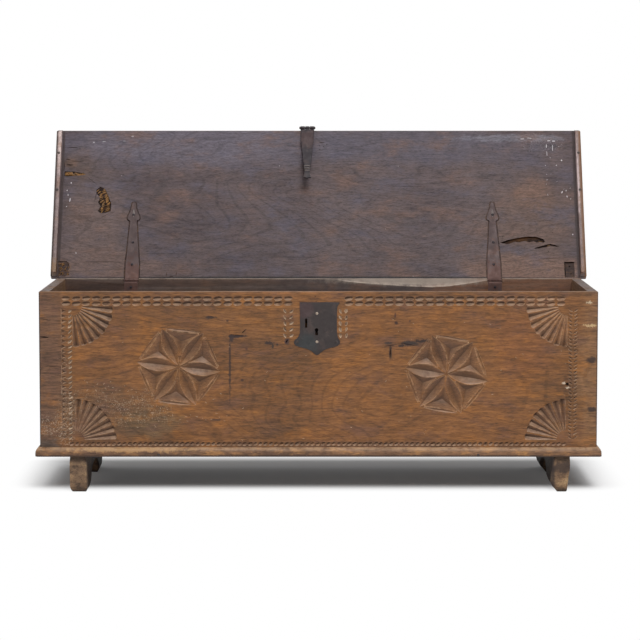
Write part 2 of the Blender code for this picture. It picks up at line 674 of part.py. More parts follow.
def case_strap(store, name, across):
    """The leaf on the case: it lies in the notch over the back and turns down its inner face."""
    axis_z = CASE_TOP - AXIS_DROP
    face = CASE_DEPTH - WALL_THICKNESS - FIT
    outer = face - IRON_THICKNESS
    end = CASE_TOP - CASE_STRAP_DROP
    wrap = CASE_DEPTH + LEAF_WRAP
    bend = arc((face, LEAF_FLOOR), -IRON_THICKNESS, IRON_THICKNESS, 90, 0, 3)
    shape = [(wrap, LEAF_FLOOR), (wrap, LEAF_FLOOR + IRON_THICKNESS)] + bend
    shape += [(outer, end), (face, end), (face, LEAF_FLOOR)]
    mesh = outline([shape], HINGE_WIDTH, SIDE_PLANE, (across, 0, 0))
    strap = store.piece(name + "_hinge_case_strap", mesh, store.iron, store.case)
    clear = KNUCKLE_RADIUS + KNUCKLE_GAP
    room = middle_room(across, clear, LEAF_FLOOR - CUT_MARGIN, CASE_TOP)
    room.transform(Matrix.Translation((0, CASE_DEPTH, 0)))
    store.cut(strap, "knuckle_room", room)
    axis = Matrix.Translation((across, CASE_DEPTH, axis_z)) @ ALONG_X
    inner = MIDDLE_KNUCKLE / 2 + KNUCKLE_GAP + FIT
    for label, side in (("left", -1), ("right", 1)):
        low, high = sorted((side * inner, side * (HINGE_WIDTH / 2 - FIT)))
        store.join(strap, label + "_knuckle", rod(KNUCKLE_RADIUS, low, high, axis))
    store.cut(strap, "bore", rod(HINGE_PIN_RADIUS + FIT, -HINGE_WIDTH, HINGE_WIDTH, axis))
    return strap


def hinge_pin(store, name, across):
    """The pin that the knuckles turn on, with rounded ends."""
    half = HINGE_WIDTH / 2
    tip = half + PIN_STAND_OUT
    profile = [(0, tip), (HINGE_PIN_RADIUS * 0.7, tip - FIT), (HINGE_PIN_RADIUS, half),
               (HINGE_PIN_RADIUS, -half), (HINGE_PIN_RADIUS * 0.7, FIT - tip), (0, -tip)]
    mesh = turned("pin", profile, ROUND_STEPS)
    mesh.transform(Matrix.Translation((across, CASE_DEPTH, CASE_TOP - AXIS_DROP)) @ ALONG_X)
    pin = store.piece(name + "_hinge_pin", mesh, store.worn_iron, store.case)
    smooth(pin)
    return pin


def hinges(store, back, lid):
    """Both strap hinges with their pins and nails."""
    for name, across in HINGES:
        on_lid = lid_strap(store, name, across)
        on_case = case_strap(store, name, across)
        hinge_pin(store, name, across)
        face = LID_UNDERSIDE - FIT - IRON_THICKNESS
        drive_nails(store, name + "_lid_strap_nail", [(across, -along, face) for along in LID_STRAP_NAILS],
                    (0, 0, 1), IRON_THICKNESS + NAIL_BITE, (on_lid, lid), store.lid)
        inner = CASE_DEPTH - WALL_THICKNESS - FIT - IRON_THICKNESS
        drive_nails(store, name + "_case_strap_nail",
                    [(across, inner, CASE_TOP - down) for down in CASE_STRAP_NAILS],
                    (0, 1, 0), IRON_THICKNESS + NAIL_BITE, (on_case, back), store.case)


def plate_outline():
    """The lock plate's outline from its top: a waist, two ears and an ogee foot."""
    top, waist, ear = PLATE_TOP_WIDTH / 2, PLATE_WAIST_WIDTH / 2, PLATE_EAR_WIDTH / 2
    half = [(0, 0), (top, 0), (waist, -0.10 * PLATE_HEIGHT), (waist, -0.58 * PLATE_HEIGHT),
            (0.6 * waist + 0.4 * ear, -0.66 * PLATE_HEIGHT), (ear, -0.745 * PLATE_HEIGHT),
            (0.95 * ear, -0.81 * PLATE_HEIGHT), (0.72 * ear, -0.85 * PLATE_HEIGHT),
            (0.42 * ear, -0.885 * PLATE_HEIGHT), (0.15 * ear, -0.96 * PLATE_HEIGHT), (0, -PLATE_HEIGHT)]
    return [(PLATE_X + across, PLATE_TOP + up) for across, up in mirrored(half)]


def slot_outline():
    """The slot for the hasp's staple: straight sides under a round head."""
    half = SLOT_WIDTH / 2
    low, high = SLOT_Z - SLOT_HEIGHT / 2, SLOT_Z + SLOT_HEIGHT / 2
    return [(SLOT_X - half, low), (SLOT_X + half, low)] + arc((SLOT_X, high - half), half, half, 0, 180, 6)


def keyhole_outline():
    """A round head with a flared foot below it."""
    foot = KEYHOLE_Z + KEYHOLE_RADIUS - KEYHOLE_HEIGHT
    head = arc((KEYHOLE_X, KEYHOLE_Z), KEYHOLE_RADIUS, KEYHOLE_RADIUS, -60, 240, 10)
    return [(KEYHOLE_X + KEYHOLE_RADIUS * 0.8, foot)] + head + [(KEYHOLE_X - KEYHOLE_RADIUS * 0.8, foot)]


def lock(store, front):
    """The plate on the front, and behind it the bolt, its guides and its spring."""
    middle = -FIT - PLATE_THICKNESS / 2
    mesh = outline([plate_outline(), slot_outline(), keyhole_outline()], PLATE_THICKNESS, FRONT_PLANE,
                   (0, middle, 0))
    plate = store.piece("lock_plate", mesh, store.iron, store.case)
    ear = PLATE_EAR_WIDTH / 2 - 2.5 * NAIL_HEAD_RADIUS
    low = PLATE_TOP - 0.745 * PLATE_HEIGHT
    places = [(PLATE_X, PLATE_TOP - 0.21 * PLATE_HEIGHT), (PLATE_X, low),
              (PLATE_X - ear, low), (PLATE_X + ear, low)]
    drive_nails(store, "lock_plate_nail", [(across, -FIT - PLATE_THICKNESS, up) for across, up in places],
                (0, 1, 0), PLATE_THICKNESS + NAIL_BITE, (plate, front), store.case)
    half = BOLT_HEIGHT / 2
    bar = box((0, 0, -half), (BOLT_LENGTH, BOLT_THICKNESS, half))
    bolt = store.piece("lock_bolt", bar, store.iron, store.bolt)
    notch_x = KEYHOLE_X - BOLT_TIP_X
    store.cut(bolt, "talon", box((notch_x - half, -CUT_MARGIN, -half - CUT_MARGIN),
                                 (notch_x + half, BOLT_THICKNESS + CUT_MARGIN, -half + BOLT_HEIGHT / 3)))
    bolt_guides(store)
    bolt_spring(store)
    return plate


def bolt_guides(store):
    """Two bent straps on the back of the plate that the bolt slides through."""
    inner_back = BOLT_THICKNESS + FIT
    inner = BOLT_HEIGHT / 2 + FIT
    outer = inner + GUIDE_WALL
    shape = [(0, inner), (inner_back, inner), (inner_back, -inner), (0, -inner), (0, -outer),
             (inner_back + GUIDE_WALL, -outer), (inner_back + GUIDE_WALL, outer), (0, outer)]
    first = BOLT_TIP_X + GUIDE_WIDTH
    last = BOLT_TIP_X + BOLT_LENGTH - BOLT_TRAVEL - GUIDE_WIDTH
    for name, across in (("left", first), ("right", last)):
        store.piece(name + "_bolt_guide", outline([shape], GUIDE_WIDTH, SIDE_PLANE, (across, 0, SLOT_Z)),
                    store.iron, store.case)


def bolt_spring(store):
    """A bent leaf on the back of the plate that bears on the top of the bolt."""
    rest = SLOT_Z + BOLT_HEIGHT / 2 + FIT
    left = BOLT_TIP_X + 2 * GUIDE_WIDTH
    right = BOLT_TIP_X + BOLT_LENGTH - BOLT_TRAVEL - 2 * GUIDE_WIDTH
    thick = SPRING_THICKNESS
    lower = [(left, rest + thick), (left + thick, rest), (right, rest + SPRING_RISE),
             (right + 4 * thick, rest + SPRING_RISE)]
    upper = [(across, up + thick) for across, up in reversed(lower)]
    mesh = outline([lower + upper], BOLT_THICKNESS, FRONT_PLANE, (0, BOLT_THICKNESS / 2, 0))
    store.piece("bolt_spring", mesh, store.iron, store.case)


def hasp_bracket(store, lid):
    """The fixed leaf: over the lid's top, down its front edge and round the hasp's pin."""
    front = -LID_REACH - FIT - BRACKET_THICKNESS
    edge = -LID_REACH - FIT
    low = LID_UNDERSIDE - HASP_PIN_DROP + 0.4 * HASP_KNUCKLE_RADIUS
    under = LID_TOP + FIT
    over = under + BRACKET_THICKNESS
    tail = -LID_REACH + BRACKET_LEAF
    shape = [(front, low), (edge, low), (edge, under), (tail, under), (tail, over), (front, over)]
    bracket = store.piece("hasp_bracket", outline([shape], BRACKET_WIDTH, SIDE_PLANE, (SLOT_X, 0, 0)),
                          store.iron, store.lid)
    pin_y = -LID_REACH - HASP_PIN_OFFSET
    pin_z = LID_UNDERSIDE - HASP_PIN_DROP
    half = MIDDLE_KNUCKLE / 2 + KNUCKLE_GAP
    clear = HASP_KNUCKLE_RADIUS + KNUCKLE_GAP
    store.cut(bracket, "knuckle_room", box((SLOT_X - half, front - CUT_MARGIN, low - CUT_MARGIN),
                                           (SLOT_X + half, edge + CUT_MARGIN, pin_z + clear)))
    axis = Matrix.Translation((SLOT_X, pin_y, pin_z)) @ ALONG_X
    for label, side in (("left", -1), ("right", 1)):
        ends = sorted((side * (half + FIT), side * (BRACKET_WIDTH / 2 - FIT)))
        store.join(bracket, label + "_knuckle", rod(HASP_KNUCKLE_RADIUS, *ends, axis))
    store.cut(bracket, "bore", rod(HASP_PIN_RADIUS + FIT, -BRACKET_WIDTH, BRACKET_WIDTH, axis))
    drive_nails(store, "hasp_bracket_nail", [(SLOT_X, -LID_REACH + along, over) for along in BRACKET_NAILS],
                (0, 0, -1), BRACKET_THICKNESS + NAIL_BITE, (bracket, lid), store.lid)


def hasp_pin(store):
    """The hasp's pin, with a round head at each end."""
    half = BRACKET_WIDTH / 2 + FIT
    head = HASP_PIN_HEAD
    profile = [(0, half + head * 0.8), (head * 0.75, half + head * 0.6), (head, half),
               (HASP_PIN_RADIUS, half), (HASP_PIN_RADIUS, -half),
               (head, -half), (head * 0.75, -half - head * 0.6), (0, -half - head * 0.8)]
    mesh = turned("pin", profile, ROUND_STEPS)
    mesh.transform(ALONG_X)
    pin = store.piece("hasp_pin", mesh, store.worn_iron, store.hasp)
    smooth(pin)


def hasp_outline():
    """The hasp from its knuckle down: wide shoulders, a long taper, a neck and a fishtail."""
    tongue = MIDDLE_KNUCKLE / 2 - FIT
    wide = HASP_WIDTH / 2
    start = HASP_KNUCKLE_RADIUS + 3 * KNUCKLE_GAP
    half = [(0, 0), (tongue, 0), (tongue, -start), (0.9 * wide, -start), (0.92 * wide, -0.10 * HASP_LENGTH),
            (wide, -0.25 * HASP_LENGTH), (0.80 * wide, -0.39 * HASP_LENGTH),
            (0.64 * wide, -0.56 * HASP_LENGTH), (0.51 * wide, -0.73 * HASP_LENGTH),
            (0.33 * wide, -0.86 * HASP_LENGTH),
            (0.40 * wide, -0.92 * HASP_LENGTH), (0.56 * wide, -0.99 * HASP_LENGTH),
            (0.30 * wide, -0.975 * HASP_LENGTH), (0, -HASP_LENGTH)]
    return mirrored(half)


def bend_tail(mesh):
    """Bends the hasp's tail outwards, so that it stays clear of the front and can be gripped."""
    solid = bmesh.new()
    solid.from_mesh(mesh)
    bpy.data.meshes.remove(mesh)
    everything = solid.verts[:] + solid.edges[:] + solid.faces[:]
    bmesh.ops.bisect_plane(solid, geom=everything, dist=0.000001, plane_co=(0, 0, -HASP_BEND_START),
                           plane_no=(0, 0, 1))
    for vertex in solid.verts:
        past = -HASP_BEND_START - vertex.co.z
        if past > 0:
            vertex.co.y -= past * math.tan(HASP_BEND)
    return mesh_of(solid)


def hasp(store):
    """The swinging hasp and the staple riveted through it that the bolt catches."""
    flat = outline([hasp_outline()], HASP_THICKNESS, FRONT_PLANE)
    plate = store.piece("hasp", bend_tail(flat), store.iron, store.hasp)
    reach = MIDDLE_KNUCKLE / 2 - 2 * FIT
    store.join(plate, "knuckle", rod(HASP_KNUCKLE_RADIUS, -reach, reach, ALONG_X))
    store.cut(plate, "bore", rod(HASP_PIN_RADIUS + FIT, -MIDDLE_KNUCKLE, MIDDLE_KNUCKLE, ALONG_X))
    face = HASP_THICKNESS / 2
    outer = STAPLE_HEIGHT / 2
    inner = outer - STAPLE_BAR
    deep = STAPLE_REACH - STAPLE_BAR
    corner = STAPLE_BAR * 1.2
    shape = [(-face, outer), (-face, inner), (deep - corner / 2, inner), (deep, inner - corner / 2),
             (deep, corner / 2 - inner), (deep - corner / 2, -inner), (-face, -inner), (-face, -outer),
             (STAPLE_REACH - corner, -outer), (STAPLE_REACH, corner - outer),
             (STAPLE_REACH, outer - corner), (STAPLE_REACH - corner, outer)]
    staple = outline([shape], STAPLE_WIDTH, SIDE_PLANE, (0, 0, -STAPLE_DISTANCE))
    store.piece("hasp_staple", staple, store.worn_iron, store.hasp)
    leg = Vector((STAPLE_WIDTH / 2 + FIT, face + CUT_MARGIN, STAPLE_BAR / 2 + FIT))
    legs = [Vector((0, 0, -STAPLE_DISTANCE + side * (inner + outer) / 2)) for side in (-1, 1)]
    store.cut(plate, "staple_holes", gather([box(middle - leg, middle + leg) for middle in legs]))


def case(store):
    """The case, its bottom, its moulding and its runners."""
    front = front_board(store)
    back = back_board(store)
    ends = [end_board(store, "left_end_board", -1), end_board(store, "right_end_board", 1)]
    planks = bottom_planks(store)
    mouldings = base_mouldings(store)
    height = CASE_BOTTOM + MOULDING_FILLET / 2
    nail_x = HALF_LENGTH - MOULDING_NAIL_INSET
    drive_nails(store, "front_moulding_nail",
                [(-nail_x, -MOULDING_PROJECTION, height), (nail_x, -MOULDING_PROJECTION, height)],
                (0, 1, 0), MOULDING_PROJECTION + NAIL_BITE, (mouldings[0], front), store.case)
    returns = ((mouldings[1], ends[0], "left", -1), (mouldings[2], ends[1], "right", 1))
    for moulding, board, name, side in returns:
        out = side * (HALF_LENGTH + MOULDING_PROJECTION)
        drive_nails(store, name + "_moulding_nail", [(out, CASE_DEPTH / 2, height)], (-side, 0, 0),
                    MOULDING_PROJECTION + NAIL_BITE, (moulding, board), store.case)
    floor = CASE_BOTTOM + PLANK_THICKNESS
    for name, across in RUNNERS:
        runner = foot_runner(store, name, across)
        for plank, row, depth in zip(planks, ("front", "rear"), (0.25, 0.75)):
            drive_nails(store, name + "_" + row + "_bottom_nail", [(across, CASE_DEPTH * depth, floor)],
                        (0, 0, -1), PLANK_THICKNESS + NAIL_BITE, (plank, runner), store.case)
    return front, back


def lid(store):
    """The lid board with its cleats and their nails."""
    board = lid_board(store)
    cleats = lid_cleats(store)
    for cleat, name, side in zip(cleats, ("left", "right"), (-1, 1)):
        face = LID_UNDERSIDE - CLEAT_DROP
        places = [(side * CLEAT_X, -LID_REACH + down, face) for down in CLEAT_NAIL_DROPS]
        drive_nails(store, name + "_cleat_nail", places, (0, 0, 1), CLEAT_DROP + NAIL_BITE,
                    (cleat, board), store.lid)
    return board


def stand_on_origin(store):
    """Moves the whole chest so that the origin lies under the middle of its box."""
    bpy.context.view_layer.update()
    depsgraph = bpy.context.evaluated_depsgraph_get()
    corners = []
    for piece in store.parts.objects:
        if piece.type == 'MESH':
            ready = piece.evaluated_get(depsgraph)
            corners += [ready.matrix_world @ vertex.co for vertex in ready.data.vertices]
    low = [min(corner[axis] for corner in corners) for axis in range(3)]
    high = [max(corner[axis] for corner in corners) for axis in range(3)]
    store.case.location = (-(low[0] + high[0]) / 2, -(low[1] + high[1]) / 2, -low[2])


def main():
    """Builds the chest."""
    store = Store()
    front, back = case(store)
    lid_piece = lid(store)
    hinges(store, back, lid_piece)
    lock(store, front)
    hasp_bracket(store, lid_piece)
    hasp_pin(store)
    hasp(store)
    stand_on_origin(store)


if __name__ == "__main__":
    main()
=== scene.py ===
"""Farmhouse chest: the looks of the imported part.

A chip-carved front, worn boards, forged hinges, a lock plate and a hasp, set in a plain pale studio. Lengths
are metres in the part's own frame: the carved front faces -Y and the floor is Z = 0.
"""

import logging
import math
import random
from dataclasses import dataclass, field
from enum import Enum
from typing import Callable, Optional, Sequence

import bpy
from bpy.types import Material, Node, NodeSocket, NodeTree, Object
from mathutils import Matrix, Vector


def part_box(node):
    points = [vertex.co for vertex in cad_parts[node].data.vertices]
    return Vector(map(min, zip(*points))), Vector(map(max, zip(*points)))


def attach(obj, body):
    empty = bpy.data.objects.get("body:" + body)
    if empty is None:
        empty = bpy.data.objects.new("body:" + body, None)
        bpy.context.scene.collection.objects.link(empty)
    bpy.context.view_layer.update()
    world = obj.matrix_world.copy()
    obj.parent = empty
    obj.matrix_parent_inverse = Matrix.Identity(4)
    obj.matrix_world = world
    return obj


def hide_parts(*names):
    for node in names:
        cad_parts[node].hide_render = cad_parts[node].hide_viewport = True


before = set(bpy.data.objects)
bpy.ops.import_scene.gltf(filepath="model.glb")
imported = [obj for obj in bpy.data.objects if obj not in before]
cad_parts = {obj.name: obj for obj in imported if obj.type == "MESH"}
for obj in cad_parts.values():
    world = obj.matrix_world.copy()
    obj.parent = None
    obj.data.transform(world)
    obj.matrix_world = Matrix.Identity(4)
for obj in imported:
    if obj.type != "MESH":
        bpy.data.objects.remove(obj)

LOG = logging.getLogger("farmhouse_chest")

Point = tuple[float, float]
Place = tuple[float, float, float]
Colour = tuple[float, float, float, float]
Screen = tuple[int, int, int]

FRONT_LOW, FRONT_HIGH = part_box("front_board")
FACE_Y = FRONT_LOW.y
CASE_TOP = FRONT_HIGH.z
LID_AXIS = (0.0, 0.11748, 0.5382)
LID_TURN = math.radians(-118)
LID_UNDERSIDE = 0.0061
HASP_PIVOT = (-0.033, 0.350493, 0.96983)
HASP_TURN = math.radians(-41.9)
LIFT = 0.0003
MARK_DEPTH = 0.2

LID_PLACE = Matrix.Translation(LID_AXIS) @ Matrix.Rotation(LID_TURN, 4, 'X')
HASP_PLACE = Matrix.Translation(HASP_PIVOT) @ Matrix.Rotation(HASP_TURN, 4, 'X')
FRONT_PLANE = Matrix(((1, 0, 0), (0, 0, -1), (0, 1, 0))).to_4x4()
SIDE_PLANE = Matrix(((0, 0, 1), (1, 0, 0), (0, 1, 0))).to_4x4()


class Body(Enum):
    """The bodies of the part that a piece can ride on."""

    CASE = "case"
    LID = "lid"
    HASP = "hasp"


class Slot(Enum):
    """The record's material slots."""

    CARVED = "carved_front_wood"
    CASE = "case_wood"
    LID = "lid_wood"
    FOOT = "foot_wood"
    IRON = "forged_iron"


class Kind(Enum):
    """What an edit-mode selection is made of."""

    EDGES = "EDGE"
    FACES = "FACE"


def tone(red: int, green: int, blue: int) -> Colour:
    """Turns a screen colour into the linear values that nodes take.

    Args:
        red: Red, 0 to 255.
        green: Green, 0 to 255.
        blue: Blue, 0 to 255.

    Returns:
        The linear colour with full alpha.
    """
    shares = [value / 255 for value in (red, green, blue)]
    linear = [share / 12.92 if share <= 0.04045 else ((share + 0.055) / 1.055) ** 2.4 for share in shares]
    return (linear[0], linear[1], linear[2], 1.0)


class Bench:
    """The modelling bench: Blender's operators, each given a clear selection."""

    @staticmethod
    def clear() -> None:
        """Leaves edit mode and deselects everything."""
        if bpy.context.object and bpy.context.object.mode != 'OBJECT':
            bpy.ops.object.mode_set(mode='OBJECT')
        bpy.ops.object.select_all(action='DESELECT')

    @staticmethod
    def take(pieces: Sequence[Object]) -> None:
        """Selects pieces and nothing else, the first one active."""
        Bench.clear()
        for piece in pieces:
            piece.select_set(True)
        bpy.context.view_layer.objects.active = pieces[0]

    @staticmethod
    def settle(piece: Object, place: Matrix = Matrix.Identity(4)) -> Object:
        """Moves a piece to its place and leaves that place in its mesh.

        Args:
            piece: The piece to move.
            place: Where it goes, from where it is now.

        Returns:
            The same piece, its object at the origin.
        """
        bpy.context.view_layer.update()
        piece.matrix_world = place @ piece.matrix_world
        Bench.take([piece])
        bpy.ops.object.transform_apply(location=True, rotation=True, scale=True)
        return piece

    @staticmethod
    def named(name: str) -> Object:
        """Names the primitive that was just added."""
        piece = bpy.context.object
        piece.name = piece.data.name = name
        return piece

    @staticmethod
    def block(name: str, low: Place, high: Place) -> Object:
        """Adds a block between two corners.

        Args:
            name: The piece's name.
            low: Its lowest corner.
            high: Its highest corner.

        Returns:
            The block, its object at the origin.
        """
        Bench.clear()
        low_corner, high_corner = Vector(low), Vector(high)
        bpy.ops.mesh.primitive_cube_add(size=1, location=(low_corner + high_corner) / 2)
        piece = Bench.named(name)
        piece.scale = high_corner - low_corner
        return Bench.settle(piece)

    @staticmethod
    def sheet(name: str, outline: Sequence[Point], thickness: float, place: Matrix) -> Object:
        """Cuts a plate to an outline: a filled circle whose points are moved, then extruded.

        Args:
            name: The piece's name.
            outline: Its outline, point by point.
            thickness: How far it is extruded.
            place: Where its plane goes.

        Returns:
            The plate, its object at the origin.
        """
        Bench.clear()
        bpy.ops.mesh.primitive_circle_add(vertices=len(outline), radius=1, fill_type='NGON')
        piece = Bench.named(name)
        for vertex, (across, up) in zip(piece.data.vertices, outline):
            vertex.co = (across, up, -thickness / 2)
        Bench.pick(piece, Kind.FACES, lambda middle, normal: True)
        bpy.ops.mesh.extrude_region_move(TRANSFORM_OT_translate={"value": (0, 0, thickness)})
        bpy.ops.mesh.select_all(action='SELECT')
        bpy.ops.mesh.normals_make_consistent(inside=False)
        Bench.clear()
        return Bench.settle(piece, place)

    @staticmethod
    def rod(
            name: str, radius: float, length: float, sides: int, wear: float,
            across: float = 0.0) -> Object:
        """Turns a rod along X with worn ends.

        Args:
            name: The piece's name.
            radius: Its radius.
            length: Its length.
            sides: How many sides it has.
            wear: How far the wear reaches from its edges.
            across: Where its middle is along X.

        Returns:
            The rod.
        """
        Bench.clear()
        bpy.ops.mesh.primitive_cylinder_add(
            vertices=sides, radius=radius, depth=length, location=(across, 0, 0),
            rotation=(0, math.pi / 2, 0))
        piece = Bench.settle(Bench.named(name))
        Bench.soften(piece, wear, 2)
        return piece

    @staticmethod
    def pick(piece: Object, kind: Kind, test: Callable[[Vector, Vector], bool]) -> None:
        """Enters edit mode with the elements selected that pass a test.

        Args:
            piece: The piece to edit.
            kind: Whether edges or faces are picked.
            test: Takes an element's middle and its normal (an edge's direction).
        """
        Bench.take([piece])
        bpy.ops.object.mode_set(mode='EDIT')
        bpy.ops.mesh.select_mode(type=kind.value)
        bpy.ops.mesh.select_all(action='DESELECT')
        bpy.ops.object.mode_set(mode='OBJECT')
        mesh = piece.data
        points = mesh.vertices
        if kind is Kind.EDGES:
            for edge in mesh.edges:
                start, end = (points[index].co for index in edge.vertices)
                edge.select = test((start + end) / 2, (end - start).normalized())
        else:
            for face in mesh.polygons:
                face.select = test(face.center, face.normal)
        bpy.ops.object.mode_set(mode='EDIT')

    @staticmethod
    def modify(piece: Object, kind: str, **settings: object) -> None:
        """Adds a modifier with its settings and applies it."""
        modifier = piece.modifiers.new(kind.lower(), kind)
        for name, value in settings.items():
            setattr(modifier, name, value)
        Bench.take([piece])
        bpy.ops.object.modifier_apply(modifier=modifier.name)

    @staticmethod
    def soften(piece: Object, width: float, segments: int = 2) -> None:
        """Rounds a piece's sharp edges as wear does."""
        Bench.modify(
            piece, 'BEVEL', width=width, segments=segments, limit_method='ANGLE',
            angle_limit=math.radians(35), harden_normals=False)

    @staticmethod
    def cut(piece: Object, cutter: Object, finish: Optional[Material] = None) -> None:
        """Cuts one shape out of a piece and removes the cutter.

        Args:
            piece: The piece that is cut.
            cutter: The shape to take away.
            finish: The finish of the cut faces, where it differs from the piece's own.

        Raises:
            RuntimeError: The cut went wrong and took most of the piece away.
        """
        before = len(piece.data.polygons)
        if finish:
            cutter.data.materials.clear()
            cutter.data.materials.append(finish)
        Bench.modify(
            piece, 'BOOLEAN', operation='DIFFERENCE', object=cutter, solver='EXACT',
            material_mode='TRANSFER')
        if len(piece.data.polygons) < before:
            raise RuntimeError(f"cutting {cutter.name} from {piece.name} failed")
        bpy.data.meshes.remove(cutter.data)

    @staticmethod
    def copy(pattern: Object, place: Matrix) -> Object:
        """Copies a pattern, with a mesh of its own, to a place."""
        twin = bpy.data.objects.new(pattern.name + "_copy", pattern.data.copy())
        bpy.context.scene.collection.objects.link(twin)
        twin.matrix_world = place
        return twin

    @staticmethod
    def gather(name: str, pieces: Sequence[Object]) -> Object:
        """Joins pieces into one object.

        Args:
            name: The name of the whole.
            pieces: The pieces to join.

        Returns:
            The joined piece, its object at the origin.
        """
        Bench.take(pieces)
        if len(pieces) > 1:
            bpy.ops.object.join()
        whole = pieces[0]
        whole.name = whole.data.name = name
        return Bench.settle(whole)

    @staticmethod
    def strew(pattern: Object, places: Sequence[Matrix]) -> list[Object]:
        """Copies a pattern to places and removes the pattern.

        Args:
            pattern: The pattern, which is used up.
            places: Where its copies go.

        Returns:
            The copies.
        """
        copies = [Bench.copy(pattern, place) for place in places]
        bpy.data.meshes.remove(pattern.data)
        return copies

    @staticmethod
    def plain_copy(node: str) -> Object:
        """Copies a solid of the part, its loose triangles merged to whole faces.

        Args:
            node: The solid's name.

        Returns:
            The copy.
        """
        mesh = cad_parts[node].data.copy()
        mesh.materials.clear()
        piece = bpy.data.objects.new("worn_" + node, mesh)
        bpy.context.scene.collection.objects.link(piece)
        Bench.take([piece])
        bpy.ops.mesh.customdata_custom_splitnormals_clear()
        bpy.ops.object.mode_set(mode='EDIT')
        bpy.ops.mesh.select_all(action='SELECT')
        bpy.ops.mesh.remove_doubles(threshold=0.00001)
        bpy.ops.mesh.dissolve_limited(angle_limit=math.radians(1))
        bpy.ops.object.mode_set(mode='OBJECT')
        return piece

    @staticmethod
    def worn_copy(node: str, width: float, segments: int = 2) -> Object:
        """Copies a solid of the part and rounds its edges as wear does.

        Args:
            node: The solid's name.
            width: How far the wear reaches from an edge.
            segments: Steps of the rounding.

        Returns:
            The worn copy.
        """
        piece = Bench.plain_copy(node)
        Bench.soften(piece, width, segments)
        return piece

    @staticmethod
    def slice(piece: Object, point: Place, normal: Place, trim: bool = False) -> None:
        """Cuts a piece through with a plane.

        Args:
            piece: The piece.
            point: A point of the plane.
            normal: The plane's normal.
            trim: Whether what lies on the normal's side is taken away and the cut closed.
        """
        Bench.pick(piece, Kind.FACES, lambda middle, direction: True)
        bpy.ops.mesh.bisect(plane_co=point, plane_no=normal, use_fill=trim, clear_outer=trim)
        Bench.clear()

    @staticmethod
    def smooth(piece: Object, degrees: float) -> None:
        """Shades a piece smooth except across sharp edges."""
        Bench.take([piece])
        bpy.ops.object.shade_smooth_by_angle(angle=math.radians(degrees))


class Tree:
    """A node tree being laid out, with short calls for the usual nodes."""

    def __init__(self, tree: NodeTree) -> None:
        """Starts laying out a tree."""
        self.tree = tree

    def add(self, kind: str, inputs: Optional[dict] = None, **settings: object) -> Node:
        """Adds a node.

        Args:
            kind: The node's type.
            inputs: Values or sockets by input name or number.
            settings: The node's own settings.

        Returns:
            The new node.
        """
        node = self.tree.nodes.new(kind)
        for name, value in settings.items():
            setattr(node, name, value)
        for key, value in (inputs or {}).items():
            if isinstance(value, NodeSocket):
                self.tree.links.new(value, node.inputs[key])
            else:
                node.inputs[key].default_value = value
        return node

    def math(self, operation: str, first: object, second: object = 0.0, clamp: bool = False) -> NodeSocket:
        """Adds a Math node and returns its value."""
        node = self.add('ShaderNodeMath', {0: first, 1: second}, operation=operation, use_clamp=clamp)
        return node.outputs[0]

    def mix(self, share: object, first: object, second: object, blend: str = 'MIX') -> NodeSocket:
        """Adds a colour Mix node of sockets or screen colours and returns its colour."""
        first, second = (tone(*side) if isinstance(side, tuple) else side for side in (first, second))
        node = self.add(
            'ShaderNodeMix', {0: share, 6: first, 7: second}, data_type='RGBA', blend_type=blend)
        return node.outputs[2]

    def noise(
            self, vector: NodeSocket, scale: object, detail: float = 4.0, rough: float = 0.55,
            distortion: float = 0.0) -> NodeSocket:
        """Adds a Noise Texture and returns its value."""
        return self.add(
            'ShaderNodeTexNoise',
            {
                "Vector": vector, "Scale": scale, "Detail": detail, "Roughness": rough,
                "Distortion": distortion}).outputs[0]

    def span(
            self, value: NodeSocket, low: object, high: object, start: float = 0.0,
            end: float = 1.0) -> NodeSocket:
        """Adds a smooth Map Range from low and high to start and end, and returns its value."""
        node = self.add(
            'ShaderNodeMapRange', {"Value": value, 1: low, 2: high, 3: start, 4: end},
            interpolation_type='SMOOTHSTEP')
        return node.outputs[0]

    def vector(self, operation: str, first: object, second: object = (0.0, 0.0, 0.0)) -> NodeSocket:
        """Adds a Vector Math node and returns its vector, or its value where it measures a length."""
        node = self.add('ShaderNodeVectorMath', {0: first, 1: second}, operation=operation)
        return node.outputs["Value" if operation == 'LENGTH' else 0]

    def group(self, tree: NodeTree, inputs: dict) -> Node:
        """Places a node group with its inputs."""
        return self.add('ShaderNodeGroup', inputs, node_tree=tree)

    def link(self, value: NodeSocket, socket: NodeSocket) -> None:
        """Leads a value to a socket."""
        self.tree.links.new(value, socket)


